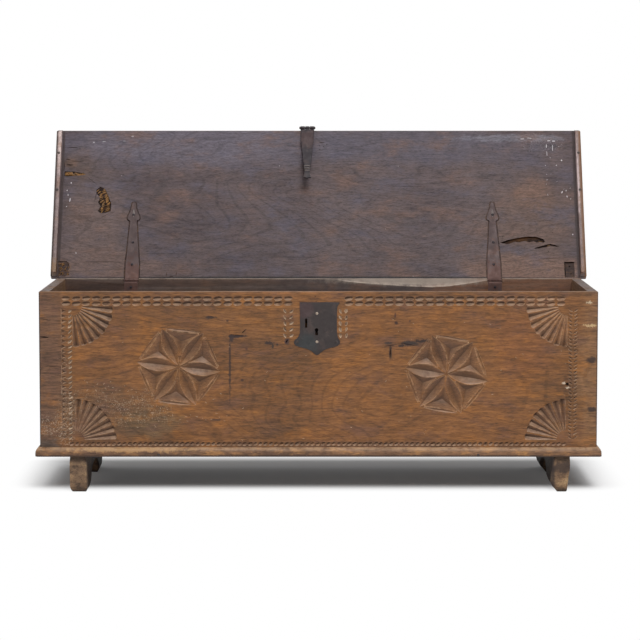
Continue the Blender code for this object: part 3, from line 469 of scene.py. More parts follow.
class Effects:
    """Shader node groups that several finishes share, each built once."""

    def __init__(self) -> None:
        """Builds every group."""
        self.grain = self._grain()
        self.spot = self._spot()
        self.dust_and_painted_light = self._dust_and_painted_light()
        self.flecks = self._flecks()
        self.forging = self._forging()

    @staticmethod
    def _group(name: str, inputs: dict[str, object], outputs: Sequence[str]) -> tuple[Tree, dict, dict]:
        """Starts a group with named inputs and outputs.

        Args:
            name: The group's name.
            inputs: Default values by input name; a tuple makes a vector input.
            outputs: Names of the values that it puts out.

        Returns:
            The group's tree, and by name what it is given and where it puts its values.
        """
        tree = bpy.data.node_groups.new(name, 'ShaderNodeTree')
        for label, value in inputs.items():
            kind = 'NodeSocketVector' if isinstance(value, tuple) else 'NodeSocketFloat'
            socket = tree.interface.new_socket(name=label, in_out='INPUT', socket_type=kind)
            socket.default_value = value
        for label in outputs:
            tree.interface.new_socket(name=label, in_out='OUTPUT', socket_type='NodeSocketFloat')
        layout = Tree(tree)
        given, put = layout.add('NodeGroupInput').outputs, layout.add('NodeGroupOutput').inputs
        return layout, given, put

    def _grain(self) -> NodeTree:
        """Wood grain along X: streaks, pores, broad figure, growth rings and a height."""
        layout, given, put = self._group(
            "grain", {"Vector": (0.0, 0.0, 0.0), "Stretch": 0.05, "Scale": 60.0, "Ring Scale": 4.0},
            ("Streaks", "Pores", "Figure", "Rings", "Height"))
        squeeze = layout.add('ShaderNodeCombineXYZ', {0: given["Stretch"], 1: 1.0, 2: 1.0})
        along = layout.vector('MULTIPLY', given["Vector"], squeeze.outputs[0])
        scale = given["Scale"]
        streaks = layout.noise(along, scale, 7.0, 0.68, 0.4)
        pores = layout.noise(along, layout.math('MULTIPLY', scale, 5.0), 3.0, 0.6)
        figure = layout.noise(along, layout.math('MULTIPLY', scale, 0.16), 3.0, 0.5, 1.2)
        height = layout.math(
            'ADD', layout.math('MULTIPLY', streaks, 0.6), layout.math('MULTIPLY', pores, 0.4))
        drawn = layout.vector('MULTIPLY', given["Vector"], (0.24, 1.0, 1.0))
        swell = layout.noise(drawn, given["Ring Scale"], 2.5, 0.35, 0.5)
        rings = layout.span(layout.math('SINE', layout.math('MULTIPLY', swell, 320.0)), 0.66, 1.0)
        for label, value in (
                ("Streaks", streaks), ("Pores", pores), ("Figure", figure), ("Rings", rings),
                ("Height", height)):
            layout.link(value, put[label])
        return layout.tree

    def _spot(self) -> NodeTree:
        """A frayed patch round a point."""
        layout, given, put = self._group(
            "spot",
            {
                "Vector": (0.0, 0.0, 0.0), "Centre": (0.0, 0.0, 0.0), "Size": (0.1, 0.1, 0.1), "Fray": 0.5,
                "Fineness": 30.0, "Speckle": 0.0},
            ("Mask",))
        away = layout.vector('SUBTRACT', given["Vector"], given["Centre"])
        shares = layout.vector('DIVIDE', away, given["Size"])
        distance = layout.vector('LENGTH', shares)
        ragged = layout.noise(given["Vector"], given["Fineness"], 5.0, 0.65)
        shift = layout.math('MULTIPLY', layout.math('SUBTRACT', ragged, 0.5), given["Fray"])
        reach = layout.math('ADD', distance, layout.math('MULTIPLY', shift, 3.0))
        patch = layout.span(reach, 1.25, 0.55)
        sparse = layout.span(layout.noise(given["Vector"], 330.0, 3.0, 0.7), 0.54, 0.64)
        whole = layout.math('SUBTRACT', 1.0, given["Speckle"])
        broken = layout.math('ADD', layout.math('MULTIPLY', sparse, given["Speckle"]), whole, True)
        layout.link(layout.math('MULTIPLY', patch, broken), put["Mask"])
        return layout.tree

    def _dust_and_painted_light(self) -> NodeTree:
        """Dust and bleaching with a painted highlight on what faces up, broken by noise, and a mask of what
        faces down for painted shade.
        """
        layout, given, put = self._group(
            "dust_and_painted_light", {"Vector": (0.0, 0.0, 0.0), "Amount": 0.5}, ("Mask", "Shade"))
        normal = layout.add('ShaderNodeNewGeometry').outputs["Normal"]
        upward = layout.add('ShaderNodeSeparateXYZ', {0: normal}).outputs[2]
        broken = layout.span(layout.noise(given["Vector"], 45.0, 5.0, 0.65), 0.28, 0.62)
        facing = layout.span(upward, 0.05, 0.75)
        settled = layout.math('MULTIPLY', layout.math('MULTIPLY', facing, broken), given["Amount"], True)
        layout.link(settled, put["Mask"])
        # the Shade output marks what faces down, where shade is painted
        layout.link(layout.span(upward, -0.05, -0.7), put["Shade"])
        return layout.tree

    def _flecks(self) -> NodeTree:
        """Sparse small flecks, as worm holes or chipped paint leave."""
        layout, given, put = self._group(
            "flecks", {"Vector": (0.0, 0.0, 0.0), "Scale": 40.0, "Radius": 0.12, "Share": 0.2}, ("Mask",))
        cells = layout.add('ShaderNodeTexVoronoi', {"Vector": given["Vector"], "Scale": given["Scale"]})
        lucky = layout.add('ShaderNodeSeparateColor', {0: cells.outputs["Color"]}).outputs[0]
        chosen = layout.math('LESS_THAN', lucky, given["Share"])
        inner = layout.math('MULTIPLY', given["Radius"], 0.6)
        disc = layout.span(cells.outputs["Distance"], given["Radius"], inner)
        layout.link(layout.math('MULTIPLY', chosen, disc), put["Mask"])
        return layout.tree

    def _forging(self) -> NodeTree:
        """Hammer dents, rust and rubbed places of old iron."""
        layout, given, put = self._group(
            "forging", {"Vector": (0.0, 0.0, 0.0), "Scale": 60.0}, ("Dents", "Rust", "Rubbed"))
        vector, scale = given["Vector"], given["Scale"]
        broad = layout.noise(vector, scale, 3.0, 0.5)
        pitted = layout.noise(vector, layout.math('MULTIPLY', scale, 6.0), 4.0, 0.65)
        dents = layout.math(
            'ADD', layout.math('MULTIPLY', broad, 0.7), layout.math('MULTIPLY', pitted, 0.3))
        rust = layout.span(
            layout.noise(vector, layout.math('MULTIPLY', scale, 0.55), 6.0, 0.62, 0.5), 0.5, 0.66)
        rubbed = layout.span(
            layout.noise(vector, layout.math('MULTIPLY', scale, 2.2), 5.0, 0.6), 0.55, 0.72)
        for label, value in (("Dents", dents), ("Rust", rust), ("Rubbed", rubbed)):
            layout.link(value, put[label])
        return layout.tree


@dataclass(frozen=True)
class ColourPatch:
    """A patch of colour at its own place on a board: most are marks of age, some are painted light and
    shade.
    """

    centre: Place
    size: Place
    colour: Screen
    strength: float
    fray: float = 0.5
    fineness: float = 30.0
    speckle: float = 0.0
    under_grain: bool = False


@dataclass(frozen=True)
class Flecks:
    """A sprinkling of small marks over a board."""

    colour: Screen
    scale: float
    radius: float
    share: float
    strength: float


@dataclass(frozen=True)
class WoodFinish:
    """Old wood: figure, streaks and pores along X, with its own patches of colour (marks of age and painted
    light), flecks, dusting with a painted highlight on what faces up and painted shade on what faces down.
    """

    name: str
    light: Screen
    middle: Screen
    dark: Screen
    patches: tuple[ColourPatch, ...] = ()
    flecks: tuple[Flecks, ...] = ()
    # colour and amount of the real dusting and of the painted highlight on what faces up
    dust_and_painted_light: Screen = (165, 145, 128)
    dust_and_highlight_amount: float = 0.35
    grime: float = 0.0
    # how strongly what faces down is darkened, as painted shade
    shade: float = 0.0
    rim: Screen = (160, 124, 92)
    rim_strength: float = 0.0
    cut_from: Optional[float] = None
    cut_axis: int = 1
    warm: Screen = (142, 95, 50)
    cool: Screen = (106, 78, 64)
    mottle: float = 0.45
    mottle_scale: float = 15.0
    roughness: float = 0.55
    sheen: float = 0.4
    scale: float = 130.0
    stretch: float = 0.10
    ring_scale: float = 4.0
    ring_depth: float = 0.10
    streak_depth: float = 0.38
    pore_depth: float = 0.30
    blotch: float = 3.2
    turn: Place = (0.0, 0.0, 0.0)
    pivot: Place = (0.0, 0.0, 0.0)
    bump: float = 0.45

    def build(self, effects: Effects) -> Material:
        """Lays out the finish as a material.

        Args:
            effects: The groups that the finishes share.

        Returns:
            The material.
        """
        material = bpy.data.materials.new(self.name)
        material.use_nodes = True
        layout = Tree(material.node_tree)
        shader = material.node_tree.nodes["Principled BSDF"]
        here = layout.add('ShaderNodeTexCoord').outputs["Object"]
        if any(self.turn):
            here = layout.add(
                'ShaderNodeMapping', {"Vector": here, "Location": self.pivot, "Rotation": self.turn},
                vector_type='TEXTURE').outputs[0]
        grain = layout.group(
            effects.grain,
            {"Vector": here, "Scale": self.scale, "Stretch": self.stretch, "Ring Scale": self.ring_scale})
        colour = self._body(layout, effects, here, grain)
        for colour_patch in self.patches:
            if not colour_patch.under_grain:
                colour = self._lay_patch(layout, effects, here, colour_patch, colour)
        for fleck in self.flecks:
            placed = layout.group(
                effects.flecks,
                {"Vector": here, "Scale": fleck.scale, "Radius": fleck.radius, "Share": fleck.share})
            share = layout.math('MULTIPLY', placed.outputs[0], fleck.strength)
            colour = layout.mix(share, colour, fleck.colour)
        colour = self._age(layout, effects, here, colour)
        layout.link(colour, shader.inputs["Base Color"])
        rough = layout.span(
            grain.outputs["Streaks"], 0.25, 0.75, self.roughness + 0.1, self.roughness - 0.1)
        layout.link(rough, shader.inputs["Roughness"])
        shader.inputs["Specular IOR Level"].default_value = self.sheen
        bump = layout.add(
            'ShaderNodeBump',
            {"Strength": self.bump, "Distance": 0.0011, "Height": grain.outputs["Height"]})
        layout.link(bump.outputs[0], shader.inputs["Normal"])
        return material

    def _body(self, layout: Tree, effects: Effects, here: NodeSocket, grain: Node) -> NodeSocket:
        """Mixes the wood's own colours along its grain.

        Args:
            layout: The material's tree.
            effects: The shared groups.
            here: Where on the board a point is.
            grain: The placed grain group.

        Returns:
            The colour of the bare wood.
        """
        blotch = layout.span(layout.noise(here, self.blotch, 4.0, 0.6, 0.3), 0.36, 0.66)
        figure = layout.span(grain.outputs["Figure"], 0.32, 0.68)
        colour = layout.mix(figure, self.dark, self.middle)
        colour = layout.mix(layout.math('MULTIPLY', blotch, 0.75), colour, self.light)
        for colour_patch in self.patches:
            if colour_patch.under_grain:
                colour = self._lay_patch(layout, effects, here, colour_patch, colour)
        drawn = layout.vector('MULTIPLY', here, (0.5, 1.0, 1.0))
        patchy = layout.noise(drawn, self.mottle_scale, 6.0, 0.68)
        colour = layout.mix(layout.span(patchy, 0.5, 0.68, 0.0, self.mottle), colour, self.warm)
        colour = layout.mix(layout.span(patchy, 0.5, 0.32, 0.0, self.mottle), colour, self.cool)
        half = self.streak_depth / 2
        streak = layout.span(grain.outputs["Streaks"], 0.32, 0.68, 1 - half, 1 + half)
        pore = layout.span(
            grain.outputs["Pores"], 0.32, 0.56, 1 - self.pore_depth, 1 + self.pore_depth * 0.3)
        ring = layout.span(grain.outputs["Rings"], 0.0, 1.0, 1.0, 1 - self.ring_depth)
        shade = layout.math('MULTIPLY', layout.math('MULTIPLY', streak, pore), ring)
        return layout.mix(
            1.0, colour, layout.add('ShaderNodeCombineColor', {0: shade, 1: shade, 2: shade}).outputs[0],
            'MULTIPLY')

    @staticmethod
    def _lay_patch(
            layout: Tree, effects: Effects, here: NodeSocket, colour_patch: ColourPatch,
            colour: NodeSocket) -> NodeSocket:
        """Lays one patch of colour over a colour.

        Args:
            layout: The material's tree.
            effects: The shared groups.
            here: Where on the board a point is.
            colour_patch: The patch of colour.
            colour: The colour under it.

        Returns:
            The stained colour.
        """
        mask = layout.group(
            effects.spot,
            {
                "Vector": here, "Centre": colour_patch.centre, "Size": colour_patch.size, "Fray": colour_patch.fray,
                "Fineness": colour_patch.fineness, "Speckle": colour_patch.speckle}).outputs[0]
        return layout.mix(layout.math('MULTIPLY', mask, colour_patch.strength), colour, colour_patch.colour)

    def _age(self, layout: Tree, effects: Effects, here: NodeSocket, colour: NodeSocket) -> NodeSocket:
        """Adds grime in deep cuts, painted shade on what faces down, rubbed rims, and dusting with a painted
        highlight on what faces up.

        Args:
            layout: The material's tree.
            effects: The shared groups.
            here: Where on the board a point is.
            colour: The colour under it.

        Returns:
            The aged colour.
        """
        dust_and_painted_light = layout.group(effects.dust_and_painted_light, {"Vector": here, "Amount": self.dust_and_highlight_amount})
        if self.cut_from is not None:
            level = layout.add('ShaderNodeSeparateXYZ', {0: here}).outputs[self.cut_axis]
            depth = layout.math('SUBTRACT', level, self.cut_from)
            deep = layout.span(depth, 0.0015, 0.0075)
            colour = layout.mix(layout.math('MULTIPLY', deep, self.grime), colour, (58, 40, 31))
            worn = layout.span(layout.noise(here, 70.0, 4.0, 0.6), 0.40, 0.60)
            rim = layout.math('MULTIPLY', layout.span(depth, 0.0009, 0.0001), worn)
            colour = layout.mix(layout.math('MULTIPLY', rim, self.rim_strength), colour, self.rim)
        # painted shade: what faces down is darkened towards dark brown
        if self.shade:
            colour = layout.mix(
                layout.math('MULTIPLY', dust_and_painted_light.outputs["Shade"], self.shade), colour, (48, 33, 27))
        # dusting and painted highlight: what faces up is lightened towards its dusty colour
        return layout.mix(dust_and_painted_light.outputs["Mask"], colour, self.dust_and_painted_light)


@dataclass(frozen=True)
class IronFinish:
    """Forged iron: dark skin, brown rust and rubbed metal."""

    name: str
    skin: Screen
    rust: Screen
    rubbed: Screen
    rust_share: float = 0.6
    rubbed_share: float = 0.4
    scale: float = 60.0
    patches: tuple[ColourPatch, ...] = ()

    def build(self, effects: Effects) -> Material:
        """Lays out the finish as a material.

        Args:
            effects: The groups that the finishes share.

        Returns:
            The material.
        """
        material = bpy.data.materials.new(self.name)
        material.use_nodes = True
        layout = Tree(material.node_tree)
        shader = material.node_tree.nodes["Principled BSDF"]
        here = layout.add('ShaderNodeTexCoord').outputs["Object"]
        forging = layout.group(effects.forging, {"Vector": here, "Scale": self.scale})
        rust = layout.math('MULTIPLY', forging.outputs["Rust"], self.rust_share)
        rubbed = layout.math('MULTIPLY', forging.outputs["Rubbed"], self.rubbed_share)
        colour = layout.mix(rust, self.skin, self.rust)
        colour = layout.mix(rubbed, colour, self.rubbed)
        for colour_patch in self.patches:
            colour = WoodFinish._lay_patch(layout, effects, here, colour_patch, colour)
        layout.link(colour, shader.inputs["Base Color"])
        metal = layout.span(layout.math('SUBTRACT', rubbed, rust), -0.3, 0.4, 0.25, 0.75)
        layout.link(metal, shader.inputs["Metallic"])
        layout.link(layout.span(forging.outputs["Dents"], 0.3, 0.7, 0.72, 0.48), shader.inputs["Roughness"])
        bump = layout.add(
            'ShaderNodeBump', {"Strength": 0.6, "Distance": 0.0012, "Height": forging.outputs["Dents"]})
        layout.link(bump.outputs[0], shader.inputs["Normal"])
        return material


def front_marks(rows: Sequence[tuple], under_grain: bool = False) -> tuple[ColourPatch, ...]:
    """Makes patches of colour on the carved front: marks of age, and the painted light on the fans.

    Args:
        rows: Each one's place across and up, half-width, half-height, colour and the rest.
        under_grain: Whether they lie under the grain.

    Returns:
        The stains.
    """
    return tuple(
        ColourPatch((across, FACE_Y, up), (wide, MARK_DEPTH, high), *rest, under_grain=under_grain)
        for across, up, wide, high, *rest in rows)


def lid_marks(rows: Sequence[tuple], under_grain: bool = False) -> tuple[ColourPatch, ...]:
    """Makes patches of colour on the lid's inner face: tints, marks of age, and painted shadow at gaps and
    edges.

    Args:
        rows: Each one's place across and away from the hinge, three half-sizes, colour and the rest.
        under_grain: Whether they lie under the grain.

    Returns:
        The stains.
    """
    return tuple(
        ColourPatch((across, away, LID_UNDERSIDE), tuple(sizes), *rest, under_grain=under_grain)
        for (across, away, *sizes), rest in ((row[:5], row[5:]) for row in rows))


END_SHADES = front_marks(
    (
        (-0.735, 0.33, 0.055, 0.3, (104, 77, 61), 0.7, 0.4, 9.0),
        (0.745, 0.33, 0.05, 0.3, (133, 98, 67), 0.7, 0.4, 9.0)),
    True)
WARM_PLACES = front_marks(
    (
        (-0.12, 0.47, 0.22, 0.06, (124, 83, 46), 0.7, 0.5, 8.0),
        (0.30, 0.46, 0.32, 0.06, (125, 82, 45), 0.7, 0.5, 8.0),
        (0.55, 0.40, 0.09, 0.1, (124, 78, 46), 0.5, 0.5, 8.0)),
    True)
RUBBED_PLACES = front_marks(
    (
        (-0.56, 0.22, 0.16, 0.08, (100, 74, 52), 0.6, 0.6, 20.0),
        (-0.45, 0.19, 0.09, 0.05, (98, 80, 56), 0.6, 0.6, 24.0),
        (-0.725, 0.125, 0.035, 0.025, (86, 74, 66), 0.8, 0.6, 30.0)),
    True)
LOWER_BORDER = front_marks(((0.0, 0.128, 0.70, 0.012, (90, 70, 60), 0.5, 0.4, 30.0),), True)
PALE_SPECKLES = front_marks(
    (
        (-0.60, 0.23, 0.10, 0.05, (192, 172, 148), 0.25, 1.0, 26.0, 1.0),
        (-0.47, 0.225, 0.09, 0.05, (196, 176, 150), 0.3, 1.0, 30.0, 1.0),
        (-0.72, 0.18, 0.04, 0.03, (200, 182, 160), 0.6, 0.9, 30.0, 1.0),
        (-0.675, 0.20, 0.02, 0.12, (200, 182, 160), 0.5, 0.9, 40.0, 1.0)))
DARK_MARKS = front_marks(
    (
        (0.1935, 0.380, 0.0045, 0.022, (50, 36, 30), 0.85, 0.5, 110.0),
        (0.2446, 0.4051, 0.0245, 0.0078, (52, 43, 39), 0.95, 0.6, 90.0),
        (0.2240, 0.3985, 0.011, 0.0038, (48, 36, 32), 0.95, 0.6, 110.0),
        (0.1877, 0.4056, 0.012, 0.0044, (56, 45, 41), 0.9, 0.6, 110.0),
        (0.2840, 0.4115, 0.026, 0.0052, (44, 33, 29), 0.95, 0.8, 110.0),
        (-0.1330, 0.4062, 0.013, 0.0046, (50, 38, 36), 0.9, 0.9, 110.0),
        (-0.1228, 0.3990, 0.0030, 0.0075, (54, 44, 38), 0.9, 0.6, 110.0),
        (-0.1104, 0.4015, 0.0034, 0.0032, (54, 42, 38), 0.9, 0.5, 110.0),
        (0.2060, 0.4790, 0.0030, 0.0080, (70, 43, 34), 0.85, 0.6, 110.0),
        (0.2087, 0.4608, 0.0052, 0.0048, (56, 36, 31), 0.95, 0.5, 110.0),
        (0.2451, 0.4655, 0.0038, 0.0036, (80, 50, 38), 0.8, 0.5, 110.0),
        (-0.2445, 0.4660, 0.0036, 0.0030, (62, 42, 36), 0.85, 0.5, 110.0),
        (-0.1928, 0.3906, 0.0038, 0.0034, (76, 48, 40), 0.8, 0.5, 110.0),
        (-0.2049, 0.3056, 0.0038, 0.0034, (62, 42, 36), 0.85, 0.5, 110.0),
        (-0.2885, 0.475, 0.015, 0.004, (46, 34, 32), 0.9, 0.7, 90.0),
        (-0.277, 0.198, 0.014, 0.003, (58, 44, 42), 0.8, 0.7, 90.0),
        (-0.2184, 0.4243, 0.029, 0.0040, (46, 34, 33), 0.95, 0.7, 110.0),
        (-0.2343, 0.4190, 0.0072, 0.0110, (54, 42, 40), 0.9, 0.7, 110.0),
        (-0.238, 0.345, 0.0032, 0.085, (54, 40, 35), 0.85, 0.9, 110.0),
        (-0.0851, 0.411, 0.0070, 0.0085, (56, 42, 44), 0.9, 0.7, 110.0),
        (0.734, 0.360, 0.016, 0.009, (50, 37, 33), 0.9, 0.45, 90.0),
        (0.735, 0.227, 0.013, 0.008, (50, 37, 33), 0.9, 0.45, 90.0),
        (0.726, 0.5154, 0.008, 0.004, (204, 186, 156), 0.7, 1.6, 190.0),
        (0.733, 0.4530, 0.016, 0.004, (204, 176, 130), 0.7, 1.6, 190.0),
        (0.6600, 0.298, 0.005, 0.003, (206, 190, 168), 0.7, 1.4, 190.0),
        (0.6695, 0.2855, 0.006, 0.0028, (206, 190, 168), 0.7, 1.2, 190.0),
        (-0.7515, 0.32, 0.0052, 0.4, (56, 43, 38), 0.85, 0.25, 60.0),
        (0.7515, 0.32, 0.0052, 0.4, (60, 44, 36), 0.75, 0.25, 60.0)))
WORN_PLACES = END_SHADES + RUBBED_PLACES + PALE_SPECKLES
LIT_FANS = front_marks(
    (
        (0.625, 0.47, 0.09, 0.09, (160, 116, 82), 0.6, 0.3, 8.0),
        (0.625, 0.17, 0.09, 0.09, (134, 98, 74), 0.5, 0.3, 8.0),
        (-0.615, 0.17, 0.09, 0.09, (136, 100, 76), 0.5, 0.3, 8.0)),
    True)
LID_SHADES = lid_marks(
    (
        (0.62, -0.20, 0.14, 0.12, 0.05, (95, 74, 65), 0.8, 0.5, 7.0),
        (0.62, -0.265, 0.06, 0.05, 0.05, (106, 79, 64), 0.6, 0.8, 20.0),
        (0.60, -0.03, 0.2, 0.06, 0.05, (116, 88, 74), 0.8, 0.5, 9.0),
        (-0.40, -0.44, 0.42, 0.08, 0.05, (92, 86, 97), 0.8, 0.5, 6.0),
        (0.25, -0.44, 0.4, 0.07, 0.05, (79, 73, 83), 0.8, 0.5, 6.0),
        (0.56, -0.458, 0.17, 0.012, 0.05, (120, 118, 128), 0.5, 0.8, 40.0),
        (-0.64, -0.15, 0.1, 0.16, 0.05, (98, 80, 75), 0.7, 0.5, 8.0),
        (-0.58, -0.05, 0.16, 0.05, 0.05, (104, 82, 74), 0.6, 0.5, 12.0),
        (-0.70, -0.36, 0.05, 0.05, 0.02, (80, 63, 56), 0.6, 0.6, 30.0),
        (-0.732, -0.036, 0.022, 0.026, 0.02, (106, 78, 58), 0.7, 0.8, 60.0),
        (-0.727, -0.375, 0.020, 0.018, 0.02, (98, 72, 56), 0.6, 0.8, 60.0)),
    True)
LID_MARKS = lid_marks(
    (
        (0.66, -0.44, 0.06, 0.03, 0.02, (176, 172, 178), 0.35, 1.0, 50.0, 1.0),
        # dark lines on the board beside both cleats: painted shadow of the gaps there
        (-0.7475, -0.24, 0.0046, 0.4, 0.02, (52, 40, 39), 0.85, 0.2, 40.0),
        (0.7475, -0.24, 0.0046, 0.4, 0.02, (52, 40, 39), 0.85, 0.2, 40.0),
        # dark line along the lid's rear edge: painted shadow of the gap over the back board
        (-0.015, -0.0095, 0.75, 0.0055, 0.05, (22, 17, 17), 0.97, 0.12, 40.0),
        (0.771, -0.24, 0.0085, 0.4, 0.06, (132, 92, 56), 0.9, 0.2, 40.0),
        # the left board end: its brown painted darker as shade
        (-0.771, -0.24, 0.0085, 0.4, 0.06, (80, 60, 50), 0.9, 0.2, 40.0)))
WORM_FLECKS = Flecks((44, 32, 27), 34.0, 0.045, 0.16, 0.8)
CHIPPED_FLECKS = Flecks((196, 172, 146), 60.0, 0.06, 0.04, 0.5)
FRONT = WoodFinish(
    "front_oak", (134, 88, 48), (120, 79, 44), (98, 67, 41), warm=(148, 94, 40), cool=(95, 67, 55),
    mottle=0.6, mottle_scale=24.0, pore_depth=0.42, ring_scale=3.0, ring_depth=0.17, streak_depth=0.54,
    patches=END_SHADES + WARM_PLACES + RUBBED_PLACES + LOWER_BORDER + PALE_SPECKLES + DARK_MARKS,
    flecks=(WORM_FLECKS, CHIPPED_FLECKS))
CUT_WOOD = dict(cut_from=FACE_Y, roughness=0.5, sheen=0.4, bump=0.3, pore_depth=0.4)
# These carved finishes paint a highlight on what faces up through their dusty colour and amount, and shade
# on what faces down through their shade setting
ROSETTE = WoodFinish(
    "rosette_oak", (134, 92, 57), (119, 81, 50), (97, 66, 43), patches=WORN_PLACES, dust_and_painted_light=(172, 136, 104),
    dust_and_highlight_amount=0.45, grime=0.4, shade=0.4, rim=(184, 146, 110), rim_strength=0.8, **CUT_WOOD)
CARVED = WoodFinish(
    "carved_oak", (117, 84, 60), (98, 70, 50), (77, 55, 41), patches=WORN_PLACES + LIT_FANS,
    dust_and_painted_light=(184, 152, 124), dust_and_highlight_amount=0.5, grime=0.65, shade=0.5, rim=(192, 160, 128), rim_strength=0.8,
    mottle=0.7, mottle_scale=60.0, **CUT_WOOD)
PALE_CUT = WoodFinish(
    "pale_chip_oak", (176, 148, 120), (142, 112, 86), (98, 72, 53), warm=(196, 170, 142), cool=(80, 56, 42),
    mottle=0.95, mottle_scale=85.0, dust_and_painted_light=(198, 174, 148), dust_and_highlight_amount=0.7, grime=0.7, shade=0.6,
    rim=(196, 172, 146), rim_strength=0.6, **CUT_WOOD)
CASE = WoodFinish(
    "case_oak", (126, 95, 66), (110, 82, 60), (88, 67, 52), dust_and_painted_light=(128, 121, 120), dust_and_highlight_amount=0.85,
    turn=(0.0, 0.0, math.pi / 2))
WANE = ColourPatch((0.27, 0.09, 0.541), (0.24, 0.03, 0.016), (148, 134, 121), 0.8, 0.4, 40.0)
WARM_CORNER = ColourPatch((0.62, 0.1, 0.5), (0.30, 0.2, 0.3), (108, 70, 45), 0.9, 0.4, 8.0, under_grain=True)
# painted shade: the middle of the back board's inner face darkened to a dim purple-brown
INSIDE_PAINTED_SHADE = ColourPatch((0.16, 0.09, 0.5), (0.30, 0.05, 0.2), (56, 44, 44), 0.8, 0.4, 8.0, under_grain=True)
INSIDE = WoodFinish(
    "inside_oak", (88, 63, 48), (73, 53, 43), (56, 41, 36), cool=(66, 52, 50), warm=(102, 68, 44),
    patches=(INSIDE_PAINTED_SHADE, WARM_CORNER, WANE), dust_and_painted_light=(168, 152, 138), dust_and_highlight_amount=0.75)
BOTTOM = WoodFinish(
    "bottom_oak", (92, 69, 53), (77, 57, 45), (58, 44, 37), cool=(62, 48, 42), warm=(104, 74, 52),
    dust_and_painted_light=(112, 94, 80), dust_and_highlight_amount=0.3)
# painted highlight along the upper bead of the moulding, on its left part
MOULDING_PAINTED_HIGHLIGHT = ColourPatch((-0.50, FACE_Y, 0.118), (0.16, 0.2, 0.007), (196, 152, 100), 0.55, 1.2, 70.0)
# painted shade along the moulding's rounded lower edge
UNDER_EDGE_PAINTED_SHADE = ColourPatch((0.0, FACE_Y, 0.0985), (1.5, 1.0, 0.0065), (58, 42, 34), 0.85, 0.35, 50.0)
# the moulding also has painted shade on what faces down and a painted highlight on what faces up
MOULDING = WoodFinish(
    "moulding_oak", (136, 99, 70), (110, 80, 58), (82, 59, 45), warm=(174, 124, 72), cool=(84, 61, 49),
    mottle=0.75, mottle_scale=38.0, patches=(MOULDING_PAINTED_HIGHLIGHT, UNDER_EDGE_PAINTED_SHADE), dust_and_painted_light=(188, 152, 116), dust_and_highlight_amount=0.6,
    shade=0.5, pore_depth=0.5)
SOLE_GRIME = ColourPatch((0.0, 0.0, -0.004), (2.0, 2.0, 0.016), (58, 44, 34), 0.8, 0.5, 60.0)
# the feet darker towards the top, just under the moulding
FOOT_TOP_DARKENING = ColourPatch((0.0, 0.0, 0.106), (2.0, 2.0, 0.030), (66, 50, 40), 0.75, 0.5, 40.0)
SCORCH = ColourPatch((0.662, -0.36, 0.066), (0.030, 0.2, 0.018), (58, 45, 40), 0.85, 0.9, 50.0)
BLEACHED = ColourPatch(
    (-0.648, -0.36, 0.055), (0.05, 0.2, 0.04), (160, 130, 100), 0.25, 0.6, 30.0, under_grain=True)
FOOT_SHADOWS = (
    ColourPatch((-0.6180, -0.1, 0.05), (0.010, 0.6, 0.3), (44, 35, 34), 0.85, 0.15, 40.0),
    ColourPatch((0.6300, -0.1, 0.05), (0.010, 0.6, 0.3), (44, 35, 34), 0.85, 0.15, 40.0),
    ColourPatch((0.0, 0.14, 0.05), (2.0, 0.14, 1.0), (52, 41, 38), 0.75, 0.2, 20.0))
FOOT = WoodFinish(
    "foot_oak", (144, 112, 82), (118, 91, 68), (86, 66, 51), warm=(172, 140, 102), cool=(66, 50, 40),
    mottle=0.95, mottle_scale=44.0, patches=(BLEACHED, SOLE_GRIME, FOOT_TOP_DARKENING, SCORCH) + FOOT_SHADOWS,
    scale=80.0, stretch=0.6, ring_depth=0.2, dust_and_highlight_amount=0.3)
LID_FRAME = dict(turn=(LID_TURN, 0.0, 0.0), pivot=LID_AXIS)
PALE_FLECKS = Flecks((188, 180, 182), 26.0, 0.05, 0.07, 0.5)
LID = WoodFinish(
    "lid_oak", (90, 76, 76), (81, 67, 68), (67, 55, 58), warm=(107, 79, 66), cool=(77, 73, 87),
    patches=LID_SHADES + LID_MARKS, flecks=(WORM_FLECKS, PALE_FLECKS), scale=150.0, stretch=0.16,
    ring_scale=3.4, ring_depth=0.2, streak_depth=0.34, mottle=0.6, mottle_scale=12.0, pore_depth=0.46,
    roughness=0.6, sheen=0.3, dust_and_highlight_amount=0.1, dust_and_painted_light=(120, 104, 100), **LID_FRAME)
LID_TOP = WoodFinish(
    "lid_top_oak", (120, 85, 56), (104, 75, 52), (84, 61, 46), cool=(92, 72, 62), dust_and_highlight_amount=0.15,
    dust_and_painted_light=(140, 122, 106), **LID_FRAME)
EATEN = WoodFinish(
    "worm_eaten_oak", (170, 124, 68), (136, 98, 56), (84, 62, 44), warm=(190, 140, 76), cool=(60, 46, 38),
    scale=220.0, stretch=1.0, bump=1.0, blotch=90.0, mottle_scale=120.0, grime=1.0, rim=(196, 148, 84),
    rim_strength=0.8, cut_from=LID_UNDERSIDE, cut_axis=2, roughness=0.7, sheen=0.2, **LID_FRAME)
# the corner recess's own colour, also used as painted shadow round the hinge straps
RECESS_AND_STRAP_SHADOW = WoodFinish(
    "recess_and_strap_shadow_oak", (82, 64, 58), (66, 51, 47), (48, 37, 36), warm=(104, 76, 54), cool=(46, 36, 36),
    mottle_scale=90.0, mottle=0.7, sheen=0.1, dust_and_highlight_amount=0.05, **LID_FRAME)
PAINT = WoodFinish(
    "paint_drop", (214, 210, 212), (196, 190, 192), (168, 162, 166), warm=(206, 198, 192),
    cool=(176, 174, 184), dust_and_highlight_amount=0.05)
